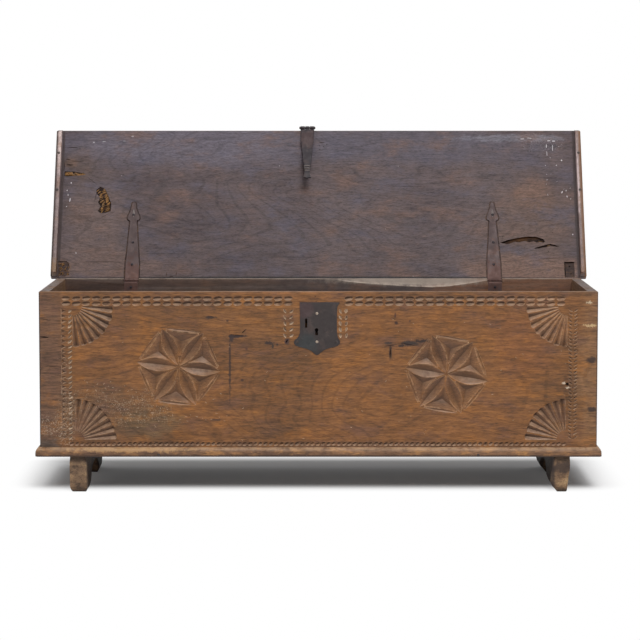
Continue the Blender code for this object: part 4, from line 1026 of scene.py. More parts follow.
# dark finish of cracks, holes and hollows; also the painted shade in the groove along the right recess
CRACK_AND_PAINTED_SHADE = WoodFinish("crack_and_painted_shade", (46, 35, 32), (33, 25, 24), (22, 17, 16), sheen=0.05, dust_and_highlight_amount=0.03)
CLEAT_TINTS_AND_SHADE = (
    ColourPatch((-0.758, -0.06, -0.01), (0.03, 0.22, 0.1), (102, 84, 82), 0.6, 0.4, 12.0, under_grain=True),
    ColourPatch((-0.758, -0.43, -0.01), (0.03, 0.11, 0.1), (218, 196, 190), 0.55, 0.4, 12.0, under_grain=True),
    ColourPatch((0.758, -0.24, -0.01), (0.03, 0.5, 0.1), (106, 86, 82), 0.55, 0.4, 12.0, under_grain=True),
    ColourPatch((0.7535, -0.31, -0.01), (0.005, 0.10, 0.1), (204, 184, 182), 0.6, 0.9, 50.0),
    # outer strip of the left cleat painted darker as shade
    ColourPatch((-0.7660, -0.24, -0.01), (0.0066, 0.4, 0.1), (56, 43, 42), 0.9, 0.2, 40.0),
    ColourPatch((0.7660, -0.24, -0.01), (0.0086, 0.4, 0.1), (112, 77, 50), 0.9, 0.2, 40.0),
    ColourPatch((-0.758, -0.034, -0.01), (0.02, 0.026, 0.1), (122, 92, 62), 0.8, 0.9, 90.0))
CLEAT = WoodFinish(
    "cleat_oak", (174, 156, 156), (146, 126, 126), (102, 85, 83), patches=CLEAT_TINTS_AND_SHADE, scale=110.0,
    stretch=0.8, dust_and_highlight_amount=0.1, **LID_FRAME)
PLATE_STAINS = (
    ColourPatch((-0.035, FACE_Y, 0.405), (0.03, 0.1, 0.03), (60, 63, 64), 0.8, 0.6, 40.0),
    ColourPatch((-0.035, FACE_Y, 0.495), (0.025, 0.1, 0.025), (82, 64, 64), 0.7, 0.6, 40.0))
IRON = IronFinish("forged_iron", (63, 56, 55), (78, 60, 54), (100, 92, 90), 0.45, 0.25, patches=PLATE_STAINS)
RUSTY_KNUCKLES = tuple(
    ColourPatch((across, LID_AXIS[1], LID_AXIS[2]), (0.05, 0.05, 0.075), (98, 62, 50), 0.45, 0.9, 60.0)
    for across in (-0.536, 0.504))
HINGE_IRON = IronFinish(
    "hinge_iron", (75, 61, 60), (94, 63, 52), (110, 95, 92), 0.6, 0.4, 60.0, RUSTY_KNUCKLES)
HASP_STAINS = (
    ColourPatch((-0.033, 0.324, 0.940), (0.03, 0.036, 0.04), (84, 61, 58), 0.4, 0.9, 60.0),
    ColourPatch((-0.033, 0.222, 0.826), (0.03, 0.012, 0.014), (28, 24, 26), 0.85, 0.4, 60.0))
DARK_IRON = IronFinish("dark_iron", (48, 42, 46), (66, 49, 46), (80, 71, 73), 0.5, 0.2, 70.0, HASP_STAINS)
RING_IRON = IronFinish("ring_iron", (104, 95, 92), (92, 74, 66), (134, 126, 122), 0.3, 0.5, 120.0)
NAIL = IronFinish("nail_iron", (70, 62, 60), (92, 68, 58), (140, 132, 128), 0.5, 0.5, 160.0)
BRIGHT_NAIL = IronFinish("bright_nail", (172, 156, 140), (132, 112, 96), (206, 196, 186), 0.5, 0.6, 220.0)


class Finishes:
    """The chest's finishes as materials, each built when it is first asked for."""

    def __init__(self) -> None:
        """Builds the effects that the finishes share."""
        self.effects = Effects()
        self.made: dict[str, Material] = {}

    def __getitem__(self, finish: WoodFinish | IronFinish) -> Material:
        """Looks up a finish's material, building it the first time."""
        if finish.name not in self.made:
            self.made[finish.name] = finish.build(self.effects)
        return self.made[finish.name]


def enlist(piece: Object, body: Body, node: str, degrees: float = 30) -> None:
    """Shades a finished piece and makes it ride on its body in place of the solid it stands for.

    Args:
        piece: The finished piece.
        body: The body it rides on.
        node: The solid it stands for.
        degrees: The angle past which an edge stays sharp.
    """
    Bench.smooth(piece, degrees)
    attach(piece, body.value)
    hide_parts(node)
    LOG.info("%s rides on %s for %s: %d faces", piece.name, body.value, node, len(piece.data.polygons))


def dress(piece: Object, finish: Material) -> Object:
    """Gives a piece one finish all over."""
    piece.data.materials.clear()
    piece.data.materials.append(finish)
    return piece


@dataclass(frozen=True)
class Face:
    """A board's face that is carved: places on it are across and up from its origin."""

    origin: Vector
    across: Vector
    up: Vector
    into: Vector

    def place(self, across: float, up: float, degrees: float, size: Place) -> Matrix:
        """Places a pattern whose length runs along its own Z, width along X and depth along Y.

        Args:
            across: Distance across the face.
            up: Distance up the face.
            degrees: Turn of the pattern's length from across towards up.
            size: Its half-width, depth and half-length.

        Returns:
            The pattern's place.
        """
        angle = math.radians(degrees)
        along = self.across * math.cos(angle) + self.up * math.sin(angle)
        wide = self.into.cross(along)
        point = self.origin + self.across * across + self.up * up - self.into * LIFT
        turn = Matrix((wide, self.into, along)).transposed().to_4x4()
        return Matrix.Translation(point) @ turn @ Matrix.Diagonal((*size, 1.0))


CARVED_FACE = Face(Vector((0, FACE_Y, CASE_TOP)), Vector((1, 0, 0)), Vector((0, 0, 1)), Vector((0, 1, 0)))
LID_FACE = Face(Vector((0, 0, LID_UNDERSIDE)), Vector((1, 0, 0)), Vector((0, -1, 0)), Vector((0, 0, 1)))


class Patterns:
    """Cutter patterns that are modelled once and copied to their places."""

    @staticmethod
    def hole(sides: int, inner: float) -> Object:
        """A round hole that narrows inwards, of radius 1 outside and depth 1 from its middle.

        Args:
            sides: How many sides it has.
            inner: Its radius at the bottom.

        Returns:
            The pattern.
        """
        Bench.clear()
        bpy.ops.mesh.primitive_cone_add(vertices=sides, radius1=1, radius2=inner, depth=2)
        return Bench.named("hole")

    @staticmethod
    def leaf(name: str, fullness: float, rings: int) -> Object:
        """A leaf-shaped chip with a V section: a four-sided sphere drawn out to a leaf.

        Args:
            name: The pattern's name.
            fullness: 2 gives a pointed lens; more gives blunter ends.
            rings: Steps along its length.

        Returns:
            The pattern, of half-length, half-width and depth 1.
        """
        Bench.clear()
        bpy.ops.mesh.primitive_uv_sphere_add(segments=4, ring_count=rings, radius=1)
        piece = Bench.named(name)
        for vertex in piece.data.vertices:
            radius = math.hypot(vertex.co.x, vertex.co.y)
            if radius > 0.001:
                share = (1 - abs(vertex.co.z) ** fullness) / radius
                vertex.co.x *= share
                vertex.co.y *= share
        return piece

    @staticmethod
    def flute(name: str, inner: float) -> Object:
        """A gouge cut that widens outwards to a rounded end: a cone with its wide end drawn out.

        Args:
            name: The pattern's name.
            inner: Its half-width at the narrow end, where the wide end is 1.

        Returns:
            The pattern, from 0 at its narrow end to 1 at its wide end.
        """
        Bench.clear()
        bpy.ops.mesh.primitive_cone_add(vertices=4, radius1=inner, radius2=1, depth=1, location=(0, 0, 0.5))
        piece = Bench.settle(Bench.named(name))
        for step, share in ((0.025, 0.82), (0.02, 0.5)):
            top = max(vertex.co.z for vertex in piece.data.vertices)
            Bench.pick(piece, Kind.FACES, lambda middle, normal: normal.z > 0.9 and middle.z > top - 0.001)
            bpy.ops.mesh.extrude_region_move(TRANSFORM_OT_translate={"value": (0, 0, step)})
            bpy.ops.transform.resize(value=(share, share, 1), center_override=(0, 0, top + step))
            Bench.clear()
        return piece

    @staticmethod
    def pit(name: str, outline: Sequence[Point], bottom: Point, depth: float, face: Face) -> Object:
        """A pit whose walls run from an outline down to one point: a cone whose rim is moved.

        Args:
            name: The pattern's name.
            outline: Its rim on the face, across and up.
            bottom: The deepest point's place on the face.
            depth: How deep it is.
            face: The face that it is cut in.

        Returns:
            The cutter.
        """
        Bench.clear()
        bpy.ops.mesh.primitive_cone_add(vertices=len(outline), radius1=1, radius2=0, depth=1)
        piece = Bench.named(name)
        rim = [vertex for vertex in piece.data.vertices if vertex.co.z < 0]
        tip = next(vertex for vertex in piece.data.vertices if vertex.co.z > 0)
        spread = (depth + LIFT) / depth
        for vertex, (across, up) in zip(rim, outline):
            reach = (bottom[0] + (across - bottom[0]) * spread, bottom[1] + (up - bottom[1]) * spread)
            vertex.co = face.origin + face.across * reach[0] + face.up * reach[1] - face.into * LIFT
        tip.co = face.origin + face.across * bottom[0] + face.up * bottom[1] + face.into * depth
        Bench.pick(piece, Kind.FACES, lambda middle, normal: True)
        bpy.ops.mesh.normals_make_consistent(inside=False)
        Bench.clear()
        return piece


@dataclass
class CarvedFront:
    """The front board with its rosettes, fans, borders and bands of chip carving."""

    finishes: Finishes
    half_length: float = 0.75
    thickness: float = 0.026
    end_thickness: float = 0.027
    tail_middles: tuple[float, ...] = (0.098, 0.2225, 0.347)
    tail_width: float = 0.045
    tail_set: float = 0.005
    rosettes: tuple[Place, ...] = ((-0.3756, 0.2023, -6.2), (0.3443, 0.2223, -9.4))
    rosette_radius: float = 0.1140
    petal_half_width: float = 0.0178
    petal_depth: float = 0.0095
    side_half_width: float = 0.0042
    side_depth: float = 0.0026
    pit_depth: float = 0.0090
    pit_middle: float = 0.60
    ridge: float = 0.0008
    fans: tuple[Place, ...] = (
        (-0.661, 0.038, -90), (-0.656, 0.401, 0), (0.669, 0.038, 180), (0.667, 0.401, 90))
    fan_inner: float = 0.026
    fan_outer: float = 0.111
    fan_flutes: int = 8
    rng: random.Random = field(default_factory=lambda: random.Random(11))

    def build(self) -> None:
        """Makes the board, carves it and puts it in place of the plain one."""
        board = self.board()
        finishes = self.finishes
        cuts = {
            finishes[ROSETTE]: (self.petals(), self.pits()),
            finishes[CARVED]: (
                self.fan_cuts(), self.top_rows(0.0176), self.top_rows(0.0316), self.bottom_row(),
                self.right_border(), self.left_teeth()),
            finishes[PALE_CUT]: (self.left_border(), self.flank_bands(), self.scratches()),
            finishes[CRACK_AND_PAINTED_SHADE]: (self.cracks(), self.worm_holes())}
        for finish, cutters in cuts.items():
            for cutter in cutters:
                Bench.cut(board, cutter, finish)
        enlist(board, Body.CASE, "front_board", 24)

    def board(self) -> Object:
        """Makes the plain board with its worn edges, dovetail sockets and lock mortise.

        Returns:
            The board.
        """
        board = Bench.block(
            "carved_front", (-self.half_length, FACE_Y, FRONT_LOW.z),
            (self.half_length, FACE_Y + self.thickness, CASE_TOP))
        dress(board, self.finishes[FRONT])
        Bench.soften(board, 0.0016, 3)
        Bench.cut(board, self.sockets())
        Bench.cut(
            board,
            Bench.block("mortise", (-0.045, FACE_Y - 0.002, 0.42275), (0.037, FACE_Y + 0.014, 0.47875)),
            self.finishes[CRACK_AND_PAINTED_SHADE])
        return board

    def sockets(self) -> Object:
        """The sockets that the ends' dovetails come through.

        Returns:
            The cutter.
        """
        cutters = []
        slope = self.tail_set / self.thickness
        near, far = -0.002, self.thickness + 0.002
        wide = self.tail_width / 2 + LIFT - slope * near
        narrow = self.tail_width / 2 + LIFT - slope * far
        length = self.end_thickness + LIFT + 0.002
        for side in (-1, 1):
            middle_x = side * (self.half_length + 0.002 - length / 2)
            for below in self.tail_middles:
                middle = CASE_TOP - below
                tail = [
                    (FACE_Y + near, middle - wide), (FACE_Y + far, middle - narrow),
                    (FACE_Y + far, middle + narrow), (FACE_Y + near, middle + wide)]
                cutters.append(
                    Bench.sheet("tail", tail, length, Matrix.Translation((middle_x, 0, 0)) @ SIDE_PLANE))
        return Bench.gather("sockets", cutters)

    def jitter(self, size: float) -> float:
        """A small chance amount, as handwork leaves."""
        return self.rng.uniform(-size, size)

    def scatter(
            self, name: str, pattern: Object, marks: Sequence[tuple[float, float, float, Place]]) -> Object:
        """Copies a pattern to many places on the face and joins the copies.

        Args:
            name: The cutter's name.
            pattern: The pattern, which is used up.
            marks: Across, up, turn in degrees and size of each copy.

        Returns:
            The cutter.
        """
        places = []
        for across, up, degrees, size in marks:
            worn = tuple(length * (1 + self.jitter(0.05)) for length in size)
            places.append(
                CARVED_FACE.place(
                    across + self.jitter(0.0005), up + self.jitter(0.0005), degrees + self.jitter(2.5),
                    worn))
        return Bench.gather(name, Bench.strew(pattern, places))

    def petals(self) -> Object:
        """Six lens-shaped petals round the middle of each rosette, and a slimmer one from tip to tip.

        Returns:
            The cutter.
        """
        reach = self.rosette_radius - 0.003
        middle = 0.003 + reach / 2
        places = []
        for across, below, tilt in self.rosettes:
            for number in range(6):
                for degrees, away, turn, size in (
                        (60 * number, middle, 0, (self.petal_half_width, self.petal_depth, reach / 2)),
                        (
                            60 * number + 30, self.apothem(), 90,
                            (self.side_half_width, self.side_depth, 0.46 * reach))):
                    angle = math.radians(tilt + degrees)
                    places.append(
                        CARVED_FACE.place(
                            across + away * math.cos(angle), -below + away * math.sin(angle),
                            tilt + degrees + turn, size))
        return Bench.gather("petals", Bench.strew(Patterns.leaf("petal", 2.0, 16), places))

    def apothem(self) -> float:
        """How far the rosette's straight sides are from its middle."""
        return self.rosette_radius * math.cos(math.radians(30))

    def pits(self) -> Object:
        """The three-sided pits between the petals.

        Returns:
            The cutter.
        """
        radius = self.rosette_radius
        edge = []
        for step in range(7):
            along = radius * (0.90 - 0.67 * step / 6)
            share = 2 * along / radius - 1
            edge.append((along, self.petal_half_width * (1 - share * share) + self.ridge))
        far_edge = []
        for along, off in reversed(edge):
            span = math.hypot(along, off)
            angle = math.radians(60) - math.atan2(off, along)
            far_edge.append((span * math.cos(angle), span * math.sin(angle)))
        outward = Vector((math.cos(math.radians(30)), math.sin(math.radians(30))))
        sideways = Vector((-outward.y, outward.x))
        side = []
        for share in (0.78, 0.4, 0.0, -0.4, -0.78):
            inset = self.side_half_width * (1 - share * share) + self.ridge
            point = outward * (self.apothem() - inset) + sideways * (share * radius / 2)
            side.append((point.x, point.y))
        bottom = outward * (self.pit_middle * radius)
        rim = edge + far_edge + side + [(bottom.x, bottom.y)]
        cutters = []
        for across, below, tilt in self.rosettes:
            for number in range(6):
                turn = Matrix.Rotation(math.radians(tilt + 60 * number), 2)
                moved = [turn @ Vector(point) + Vector((across, -below)) for point in rim]
                outline = [(point.x, point.y) for point in moved]
                cutters.append(Patterns.pit("pit", outline[:-1], outline[-1], self.pit_depth, CARVED_FACE))
        return Bench.gather("pits", cutters)

    def fan_cuts(self) -> Object:
        """The gouged flutes of the four corner fans.

        Returns:
            The cutter.
        """
        pitch = 90 / self.fan_flutes
        half = self.fan_outer * math.radians(pitch) * 0.44
        length = (self.fan_outer - self.fan_inner) * 0.96
        places = []
        for across, below, start in self.fans:
            for number in range(self.fan_flutes):
                degrees = start + pitch * (number + 0.5) + self.jitter(0.5)
                angle = math.radians(degrees)
                places.append(
                    CARVED_FACE.place(
                        across + self.fan_inner * math.cos(angle),
                        -below + self.fan_inner * math.sin(angle), degrees,
                        (half, 0.0075, length * (1 + self.jitter(0.02)))))
        return Bench.gather("fans", Bench.strew(Patterns.flute("flute", 0.2), places))

    def top_rows(self, below: float) -> Object:
        """One row of long slanted chips under the top edge, broken at the lock.

        Args:
            below: How far the row's middle is under the top edge.

        Returns:
            The cutter.
        """
        marks = []
        across = -0.677
        while across < 0.672:
            if not -0.072 < across < 0.074:
                marks.append((across, -below, 5.0, (0.0064, 0.0054, 0.0124)))
            across += 0.0271
        return self.scatter("top_row", Patterns.leaf("chip", 4.4, 10), marks)

    def bottom_row(self) -> Object:
        """The row of short chips above the base moulding."""
        marks = [
            (-0.664 + 0.0141 * number, -0.4112, 24.0, (0.0054, 0.0044, 0.0070)) for number in range(95)]
        return self.scatter("bottom_row", Patterns.leaf("chip", 3.0, 8), marks)

    def left_border(self) -> Object:
        """The inner column of slanted oval chips down the left end."""
        marks = [
            (
                -0.6672, -0.052 - 0.0137 * number, 38 + self.jitter(12),
                (0.0036 + self.jitter(0.0007), 0.0034, 0.0072 + self.jitter(0.0012)))
            for number in range(26)]
        return self.scatter("left_border", Patterns.leaf("chip", 2.6, 8), marks)

    def left_teeth(self) -> Object:
        """The outer column of three-sided chips down the left end.

        Returns:
            The cutter.
        """
        cutters = []
        for number in range(26):
            up = -0.052 - 0.0137 * number + self.jitter(0.0005)
            outline = [(-0.6905, up + 0.0062), (-0.6905, up - 0.0062), (-0.6765 + self.jitter(0.0008), up)]
            cutters.append(Patterns.pit("tooth", outline, (-0.685, up), 0.0040, CARVED_FACE))
        return Bench.gather("left_teeth", cutters)

    def right_border(self) -> Object:
        """The column of small chevrons down the right end."""
        marks = [
            (across, -0.050 - 0.0098 * number, slant, (0.0027, 0.0034, 0.0070)) for number in range(36)
            for across, slant in ((0.6765, -32.0), (0.6910, 32.0))]
        return self.scatter("right_border", Patterns.leaf("chip", 2.4, 8), marks)

    def flank_bands(self) -> Object:
        """The herringbone bands on both sides of the lock plate."""
        marks = []
        for across, slant in ((-0.0899, -60.0), (-0.0724, 34.0), (0.0588, -66.0), (0.0748, 70.0)):
            for number in range(5):
                marks.append(
                    (
                        across + self.jitter(0.0006), -0.052 - 0.0165 * number + self.jitter(0.0006),
                        slant + self.jitter(9), (0.0040 + self.jitter(0.0007), 0.0034, 0.0072)))
        return self.scatter("flank_bands", Patterns.leaf("chip", 2.4, 8), marks)

    def scratches(self) -> Object:
        """Short pale scratches, thickest where the lower left of the front is rubbed bare.

        Returns:
            The cutter.
        """
        zones = (
            (-0.515, -0.400, -0.371, -0.262, 60), (-0.638, -0.508, -0.276, -0.233, 34),
            (-0.744, -0.700, -0.388, -0.317, 26), (-0.700, -0.660, -0.400, -0.282, 26),
            (-0.400, -0.244, -0.350, -0.325, 20), (0.650, 0.690, -0.400, -0.060, 26),
            (-0.64, 0.64, -0.40, -0.06, 50))
        marks: list[tuple[float, float, float, Place]] = []
        for left, right, low, high, number in zones:
            for _ in range(number):
                length = self.rng.uniform(0.0014, 0.0052)
                across, up = self.rng.uniform(left, right), self.rng.uniform(low, high)
                if all(
                        math.hypot(across - other[0], up - other[1]) > length + other[3][2] + 0.002
                        for other in marks):
                    marks.append(
                        (
                            across, up, self.rng.choice((-60.0, -35.0, -10.0, 0.0, 20.0, 50.0)),
                            (self.rng.uniform(0.0006, 0.0013), 0.0009, length)))
        return self.scatter("scratches", Patterns.leaf("scratch", 2.6, 5), marks)

    def cracks(self) -> Object:
        """Fine splits and scratches in the front."""
        marks = [
            (-0.221, -0.116, -2.0, (0.0011, 0.002, 0.027)),
            (-0.1995, -0.1065, 45.0, (0.0017, 0.0020, 0.0100)),
            (0.1935, -0.1655, 88.0, (0.0018, 0.002, 0.0170)),
            (0.1925, -0.1445, 2.0, (0.0014, 0.0018, 0.014)), (0.240, -0.141, -8.0, (0.0013, 0.0016, 0.024)),
            (-0.0851, -0.133, 60.0, (0.0026, 0.002, 0.0060)), (-0.71, -0.2005, 0.0, (0.0006, 0.0015, 0.03)),
            (-0.7365, -0.1226, 0.0, (0.0019, 0.004, 0.0132)),
            (-0.7365, -0.0748, 0.0, (0.0006, 0.002, 0.0130)), (-0.55, -0.118, 1.0, (0.0005, 0.0012, 0.035)),
            (0.42, -0.392, 0.5, (0.0005, 0.0012, 0.05))]
        return self.scatter("cracks", Patterns.leaf("crack", 2.0, 8), marks)

    def worm_holes(self) -> Object:
        """Worm holes, one of them broken out at the right border, and two nail holes over the lock.

        Returns:
            The cutter.
        """
        marks = [(-0.0086, -0.0122, 0.0022), (-0.0062, -0.0262, 0.0018), (0.6690, -0.2490, 0.0060)]
        for _ in range(34):
            marks.append(
                (
                    self.rng.uniform(-0.6, 0.6), self.rng.uniform(-0.385, -0.060),
                    self.rng.uniform(0.0006, 0.0012)))
        turn = Matrix.Rotation(-math.pi / 2, 4, 'X')
        places = [
            Matrix.Translation(
                (across, FACE_Y, CASE_TOP + up)) @ turn @ Matrix.Diagonal((radius, radius, 0.003, 1.0))
            for across, up, radius in marks]
        return Bench.gather("worm_holes", Bench.strew(Patterns.hole(7, 0.45), places))


@dataclass(frozen=True)
class Foot:
    """How a runner's foot is shaped, from the case down: height, shift of its middle and half-width."""

    node: str
    levels: tuple[Place, ...]

    def at(self, height: float) -> Point:
        """Finds the shift and the half-width at a height.

        Args:
            height: Height over the floor.

        Returns:
            The shift of the middle and the half-width.
        """
        for (high, shift, half), (low, next_shift, next_half) in zip(self.levels, self.levels[1:]):
            if height >= low:
                share = min(1.0, max(0.0, (height - low) / (high - low)))
                return next_shift + (shift - next_shift) * share, next_half + (half - next_half) * share
        return self.levels[-1][1:]


@dataclass
class CaseBoards:
    """The ends, back, bottom and base mouldings of the case, and the runners under it."""

    finishes: Finishes
    ends: tuple[str, ...] = ("left_end_board", "right_end_board")
    planks: tuple[str, ...] = ("bottom_plank_front", "bottom_plank_rear")
    mouldings: tuple[str, ...] = ("base_moulding_front", "base_moulding_left", "base_moulding_right")
    feet: tuple[Foot, ...] = (
        Foot(
            "left_foot_runner",
            (
                (0.0993, -0.0065, 0.0205), (0.080, -0.0054, 0.0228), (0.060, -0.0046, 0.0237),
                (0.045, -0.0044, 0.0235), (0.030, -0.0042, 0.0238), (0.014, -0.0040, 0.0232),
                (0.006, -0.0036, 0.0206), (0.002, -0.0034, 0.0186), (0.0, -0.0034, 0.0172))),
        Foot(
            "right_foot_runner",
            (
                (0.0993, 0.0012, 0.0216), (0.080, 0.0010, 0.0232), (0.0665, -0.0004, 0.0238),
                (0.048, -0.0030, 0.0240), (0.031, -0.0052, 0.0238), (0.020, -0.0040, 0.0216),
                (0.0133, -0.0015, 0.0184), (0.006, 0.0014, 0.0148), (0.0, 0.0026, 0.0116))))
    wane: tuple[Point, ...] = (
        (0.046, 0.40), (0.0536, 0.42), (0.0757, 0.63), (0.111, 0.74), (0.157, 0.82), (0.2105, 0.93),
        (0.268, 1.07), (0.3255, 1.22), (0.379, 1.15), (0.425, 0.93), (0.4603, 0.76), (0.4826, 0.76))
    arris: float = 0.0016
    rng: random.Random = field(default_factory=lambda: random.Random(31))

    def build(self) -> None:
        """Makes every board with worn edges in place of the plain one."""
        for node in self.ends:
            self.end_board(node)
        self.back()
        for node in self.planks:
            plank = dress(Bench.worn_copy(node, self.arris), self.finishes[BOTTOM])
            enlist(plank, Body.CASE, node)
        for node in self.mouldings:
            self.moulding(node)
        for foot in self.feet:
            self.runner(foot)

    def end_board(self, node: str) -> None:
        """Makes an end board, worn where its edges are free, its tails finished as the front is.

        Args:
            node: The board's solid.
        """
        end = Bench.plain_copy(node)
        low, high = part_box(node)
        outside = low.x if low.x < 0 else high.x
        Bench.pick(
            end, Kind.EDGES,
            lambda middle, direction: middle.z > CASE_TOP - 0.0005 or (
                abs(middle.x - outside) < 0.0005 and abs(direction.z) > 0.9
                and abs(middle.y - FACE_Y) < 0.0005))
        bpy.ops.mesh.bevel(offset=self.arris, segments=2, affect='EDGES')
        Bench.clear()
        dress(end, self.finishes[CASE])
        end.data.materials.append(self.finishes[FRONT])
        for face in end.data.polygons:
            if face.normal.y < -0.9:
                face.material_index = 1
        enlist(end, Body.CASE, node)

    def back(self) -> None:
        """Makes the back board, whose wane runs out gently to the left and closes faster to the right."""
        board = Bench.plain_copy("back_board")
        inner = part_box("back_board")[0].y
        for vertex in board.data.vertices:
            place = vertex.co
            if place.z > 0.52 and place.y < inner + 0.012:
                for (start, first), (end, last) in zip(self.wane, self.wane[1:]):
                    if start < place.x <= end:
                        share = first + (last - first) * (place.x - start) / (end - start)
                        place.y = inner + (place.y - inner) * share
                        place.z = CASE_TOP - (CASE_TOP - place.z) * share
                        break
        Bench.soften(board, self.arris)
        dress(board, self.finishes[INSIDE])
        enlist(board, Body.CASE, "back_board")

    def moulding(self, node: str) -> None:
        """Makes a length of the base moulding, its lower edge worn round.

        Args:
            node: The moulding's solid.
        """
        piece = Bench.plain_copy(node)
        low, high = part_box(node)
        lengthwise = (high - low).y > (high - low).x
        outer = low.y if not lengthwise else (low.x if low.x < 0 else high.x)
        Bench.pick(
            piece, Kind.EDGES,
            lambda middle, direction: middle.z < low.z + 0.0005 and abs(
                (middle.x if lengthwise else middle.y) - outer) < 0.0005)
        bpy.ops.mesh.bevel(offset=0.0042, segments=4, affect='EDGES')
        Bench.clear()
        Bench.soften(piece, 0.0006, 1)
        dress(piece, self.finishes[MOULDING])
        enlist(piece, Body.CASE, node)

    def runner(self, foot: Foot) -> None:
        """Makes a runner whose feet have worn to their own waists and bulges.

        Args:
            foot: Its shape from the case down to the floor.
        """
        runner = Bench.plain_copy(foot.node)
        low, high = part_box(foot.node)
        middle = (low.x + high.x) / 2
        for height, _, _ in foot.levels[1:-1]:
            Bench.slice(runner, (middle, 0, height), (0, 0, 1))
        for vertex in runner.data.vertices:
            shift, half = foot.at(vertex.co.z)
            side = 1 if vertex.co.x > middle else -1
            vertex.co.x = middle + shift + side * half + self.rng.uniform(-0.0004, 0.0004)
        Bench.soften(runner, 0.0042, 3)
        dress(runner, self.finishes[FOOT])
        enlist(runner, Body.CASE, foot.node, 40)


@dataclass
class Lid:
    """The lid board with its cracks and worm-eaten places, and the cleats under its ends."""

    finishes: Finishes
    half_length: float = 0.77
    case_half_length: float = 0.75
    thickness: float = 0.024
    reach: float = 0.484
    rear_gap: float = 0.016
    lip: float = 0.0108
    edge_round: float = 0.003
    cleat_inner: float = 0.7515
    cleat_thickness: float = 0.0134
    cleat_drop: float = 0.030
    cleat_slants: tuple[float, ...] = (0.0155, 0.0160)
    fine_splits: tuple[tuple[float, float, float, Place], ...] = (
        (-0.7215, 0.4270, 0.5, (0.0011, 0.002, 0.0190)), (-0.7065, 0.3829, -3.0, (0.0009, 0.002, 0.0215)),
        (-0.7335, 0.3890, -8.0, (0.0010, 0.002, 0.0085)), (-0.7280, 0.3708, 0.0, (0.0018, 0.003, 0.0110)),
        (-0.7425, 0.3660, 90.0, (0.0009, 0.002, 0.0150)), (0.0101, 0.4443, -2.0, (0.0009, 0.002, 0.0105)),
        (0.0240, 0.4372, 70.0, (0.0009, 0.002, 0.0034)), (0.0032, 0.4335, 20.0, (0.0012, 0.002, 0.0018)),
        (0.0147, 0.4302, -55.0, (0.0010, 0.002, 0.0034)), (0.0032, 0.4216, 5.0, (0.0011, 0.002, 0.0030)),
        (-0.632, 0.0605, 0.5, (0.0008, 0.002, 0.075)), (-0.660, 0.3195, -40.0, (0.0006, 0.0015, 0.024)),
        (0.25, 0.302, -1.0, (0.0006, 0.0012, 0.09)), (0.665, 0.072, 1.0, (0.0006, 0.0012, 0.040)),
        (-0.437, 0.0210, 82.0, (0.0012, 0.002, 0.0080)), (-0.423, 0.0150, 4.0, (0.0014, 0.002, 0.0075)),
        (-0.409, 0.0220, 86.0, (0.0014, 0.002, 0.0080)), (-0.648, 0.270, 80.0, (0.0008, 0.002, 0.022)),
        (-0.622, 0.206, 30.0, (0.0007, 0.002, 0.014)))
    rng: random.Random = field(default_factory=lambda: random.Random(5))

    def build(self) -> None:
        """Makes the lid board and both cleats."""
        self.board()
        for name, side, slant in zip(("left", "right"), (-1, 1), self.cleat_slants):
            self.cleat(name, side, slant)

    def board(self) -> None:
        """Makes the lid board, with what age has done to its inner face, and painted shadow round the hinge
        straps and along two sides of the right recess.
        """
        half, inner = self.half_length, self.case_half_length
        outline = [
            (half, -self.reach), (half, -self.rear_gap), (inner, -self.rear_gap), (inner, self.lip),
            (-inner, self.lip), (-inner, -self.rear_gap), (-half, -self.rear_gap), (-half, -self.reach)]
        middle = LID_UNDERSIDE + self.thickness / 2
        board = Bench.sheet("lid_plank", outline, self.thickness, Matrix.Translation((0, 0, middle)))
        dress(board, self.finishes[LID])
        Bench.soften(board, self.edge_round, 3)
        board.data.materials.append(self.finishes[LID_TOP])
        for face in board.data.polygons:
            face.material_index = int(face.normal.z > 0.3 or face.normal.y < -0.7)
        Bench.cut(board, self.corner_recesses(), self.finishes[RECESS_AND_STRAP_SHADOW])
        Bench.cut(board, self.recess_painted_shade_groove(), self.finishes[CRACK_AND_PAINTED_SHADE])
        # a shallow dark band round each strap's place: painted shadow of the strap's edges
        for _, across in StrapHinges.places:
            bed = StrapHinges.outline(across, random.Random(1), 0.0034)
            Bench.cut(
                board, Bench.sheet("bed", bed, 0.0014, Matrix.Translation((0, 0, LID_UNDERSIDE))),
                self.finishes[RECESS_AND_STRAP_SHADOW])
        Bench.cut(board, self.splits(), self.finishes[CRACK_AND_PAINTED_SHADE])
        Bench.cut(board, self.eaten_hollows(), self.finishes[CRACK_AND_PAINTED_SHADE])
        Bench.cut(board, self.holes(), self.finishes[CRACK_AND_PAINTED_SHADE])
        board = Bench.gather("lid_plank", [board] + self.splinters() + self.drops())
        Bench.settle(board, LID_PLACE)
        enlist(board, Body.LID, "lid_board")

    @staticmethod
    def sunk(name: str, outline: Sequence[Point], depth: float) -> Object:
        """Makes a cutter of twice the depth it cuts, from an outline across and away from the hinge.

        Args:
            name: The cutter's name.
            outline: Its outline.
            depth: How thick it is; half of that goes into the board.

        Returns:
            The cutter.
        """
        flipped = [(across, -away) for across, away in outline]
        return Bench.sheet(name, flipped, depth, Matrix.Translation((0, 0, LID_UNDERSIDE)))

    def corner_recesses(self) -> Object:
        """A shallow old recess near the right rear corner, and a crumbled place near the left one.

        Returns:
            The cutter.
        """
        right = Bench.block(
            "recess", (0.709, -0.058, LID_UNDERSIDE - 0.002), (0.7355, -0.012, LID_UNDERSIDE + 0.0030))
        crumbled = [
            (-0.7495, -0.0625), (-0.737, -0.0640), (-0.7245, -0.0630), (-0.7180, -0.0560),
            (-0.7160, -0.0450), (-0.7195, -0.0330), (-0.7165, -0.0200), (-0.7290, -0.0145),
            (-0.7420, -0.0170), (-0.7495, -0.0150)]
        left = Bench.sheet("recess", crumbled, 0.0052, Matrix.Translation((0, 0, LID_UNDERSIDE)))
        return Bench.gather("recesses", [right, left])

